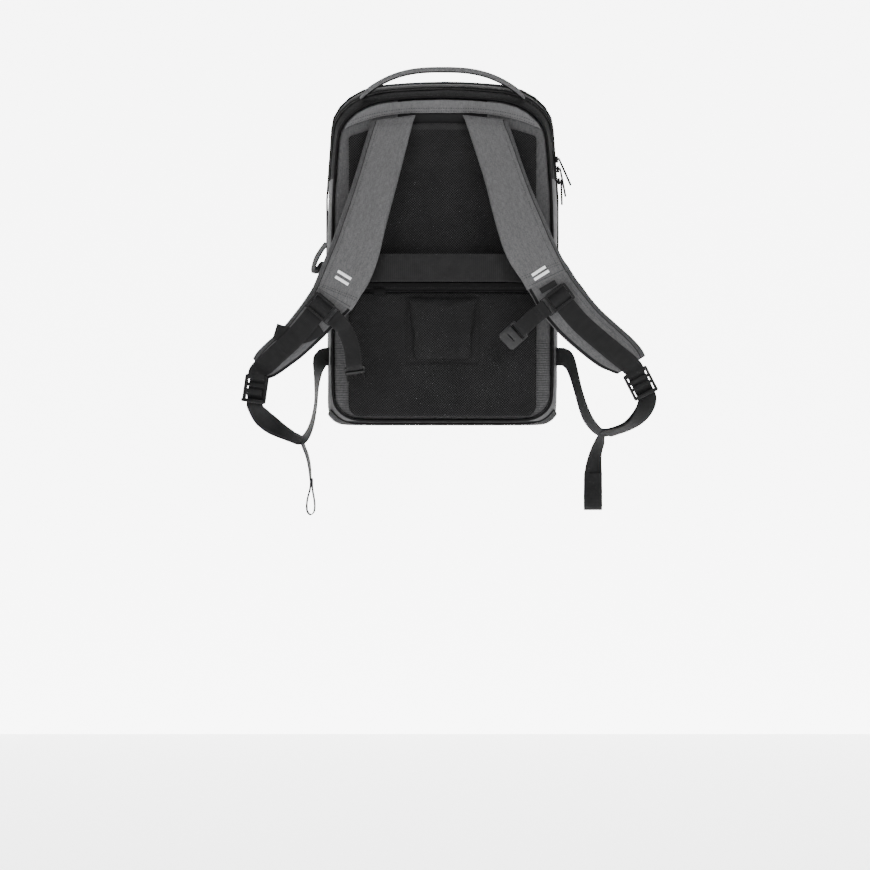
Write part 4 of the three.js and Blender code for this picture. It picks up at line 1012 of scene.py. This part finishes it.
def lock_fold(upper, lower):
    """Keys of the fold that fills a ladder lock's slots, from one webbing's end to the other."""
    pairs = [(end, key) for end in (upper[0], upper[-1]) for key in lower]
    end, start = min(pairs, key=lambda pair: (pair[0][0] - pair[1][0]).length)
    wide = end[1] if end[1].dot(start[1]) > 0 else end[1] * -1.0
    wide = (wide.normalized() + start[1].normalized()).normalized() * start[1].length
    along = (start[0] - end[0]).normalized()
    thick = wide.cross(along).normalized() * end[2].length
    toward = Vector((0, -1, 0))
    places = [end[0].lerp(start[0], share) + toward * rise for share, rise in fold_bulges]
    return [[place, wide, thick] for place in places]


# The fold's places between the two webbings' ends and how far it stands toward the front, in metres.
fold_bulges = [
    (-0.10, 0.0006), (0.10, 0.0026), (0.35, 0.0034),
    (0.55, 0.0010), (0.75, 0.0030), (1.05, 0.0014),
]
for side in ("left", "right"):
    strap_keys, adjuster_keys = (webbing_keys(f"{kind}_web_{side}") for kind in ("strap", "adjuster"))
    webbing(f"strap_webbing_{side}", strap_keys, ribbed[27], [f"strap_web_{side}"], ripple=ripple)
    webbing(f"adjuster_webbing_{side}", adjuster_keys, ribbed[25], [f"adjuster_web_{side}"])
    webbing(f"lock_fold_{side}", lock_fold(strap_keys, adjuster_keys), ribbed[25])
    sternum = f"sternum_web_{side}"
    webbing(f"sternum_webbing_{side}", webbing_keys(sternum), ribbed[22], [sternum])
webbing("sternum_webbing_tail", webbing_keys("sternum_tail_left"), ribbed[22], ["sternum_tail_left"])
tab_turn = math.radians(24)
tab_keys = []
for middle, wide, thick in webbing_keys("side_tab"):
    turned = wide * math.cos(tab_turn) + thick.normalized() * wide.length * math.sin(tab_turn)
    tab_keys.append([middle, turned, thick])
webbing("side_tab_webbing", tab_keys, ribbed[22], ["side_tab"])

# The plastic hardware: sliders, ladder locks and the two halves of the sternum buckle, moulded in
# dark grey nylon with soft edges.


def moulded(name, level):
    """Satin nylon with a fine moulded grain and slow changes of gloss."""
    material, start = begin_finish(name)[:2]
    place = on_object(start)
    fine = start.make("ShaderNodeTexNoise", {}, {"Vector": place, "Scale": 2200.0, "Detail": 2.0})
    broad = start.make("ShaderNodeTexNoise", {}, {"Vector": place, "Scale": 90.0, "Detail": 3.0})
    colour = (broad * 0.6 + fine * 0.4).step(0.3, 0.7).blend(grey(level * 0.85), grey(level * 1.15))
    return end_finish(material, colour, 0.38 + broad * 0.14, fine * 0.6 + broad * 0.4, 0.00005, 0.2)


nylon = moulded("dark grey nylon", 0.006)
pale_nylon = moulded("mid grey nylon", 0.018)
for side in ("left", "right"):
    dress(f"sternum_slider_{side}", nylon, "buckle_plastic", 0.0006)
    dress(f"ladder_lock_{side}", nylon, "buckle_plastic", 0.0006, fuller=0.0005)
dress("buckle_male", nylon, "buckle_plastic", 0.0006)
dress("buckle_female", pale_nylon, "buckle_plastic", 0.0009)

# The bars: silver reflective film, pressed on to each strap in pairs, and the small bare label that
# is sewn into the right strap's seam.


def film():
    """Pale silver film with tiny glass beads in it."""
    material, start, x, _, z = begin_finish("silver reflective film")
    beads = start.make("ShaderNodeTexVoronoi", {}, {"Vector": on_object(start), "Scale": 2600.0})
    broad = grain(start, x, z, 0.0, 9.0, 9.0)
    colour = (beads * 1.2 + broad * 0.3).step(0.0, 1.0).blend(grey(0.90), grey(0.78))
    return end_finish(material, colour, 0.32, beads, 0.00003)


bright = film()
for side in ("left", "right"):
    for number in (1, 2):
        dress(f"reflective_bar_{side}_{number}", bright, "reflective", 0.0003)
dress("strap_label", plain_black("smooth black label", 0.02), "dark_fabric", 0.0003)

# The studio: a pale floor and backdrop, soft light from both sides, the front and above, and a level
# camera straight in front of the bag's back, low enough to leave the bag high in the picture.
upright = (math.pi / 2, 0, 0)
sheet_size, floor_z, backdrop_y = 14, -1.1, 3.6
level = 0.9
bpy.ops.mesh.primitive_plane_add(size=sheet_size, location=(0, 0, floor_z))
floor = bpy.context.object
floor.name = "floor"
bpy.ops.mesh.primitive_plane_add(size=sheet_size, location=(0, backdrop_y, 0), rotation=upright)
backdrop = bpy.context.object
backdrop.name = "backdrop"
for sheet, glow in ((floor, 1.3), (backdrop, 6.0)):
    paper = bpy.data.materials.new(f"pale studio {sheet.name}")
    paper.use_nodes = True
    shader = paper.node_tree.nodes["Principled BSDF"]
    shader.inputs["Base Color"].default_value = (level, level, level, 1)
    shader.inputs["Emission Color"].default_value = (1, 1, 1, 1)
    shader.inputs["Emission Strength"].default_value = glow
    sheet.data.materials.append(paper)
for place, size, power in (
    ((-1.7, -2.1, 1.7), 1.6, 42),
    ((1.7, -2.1, 1.7), 1.6, 52),
    ((0.0, -2.6, 0.4), 1.2, 12),
    ((0.0, 0.3, 1.9), 1.6, 30),
):
    bpy.ops.object.light_add(type="AREA", location=place)
    lamp = bpy.context.object
    lamp.data.size = size
    lamp.data.energy = power
    lamp.rotation_euler = (Vector(place) * -1).to_track_quat("-Z", "Y").to_euler()
camera_distance = 3.2
aim_x, aim_y, aim_z = -0.0103, 0.01535, -0.2281
lens = 96.3
sensor = 36
bpy.ops.object.camera_add(location=(aim_x, aim_y - camera_distance, aim_z), rotation=upright)
camera = bpy.context.object
camera.data.lens = lens
camera.data.sensor_width = sensor
bpy.context.scene.camera = camera
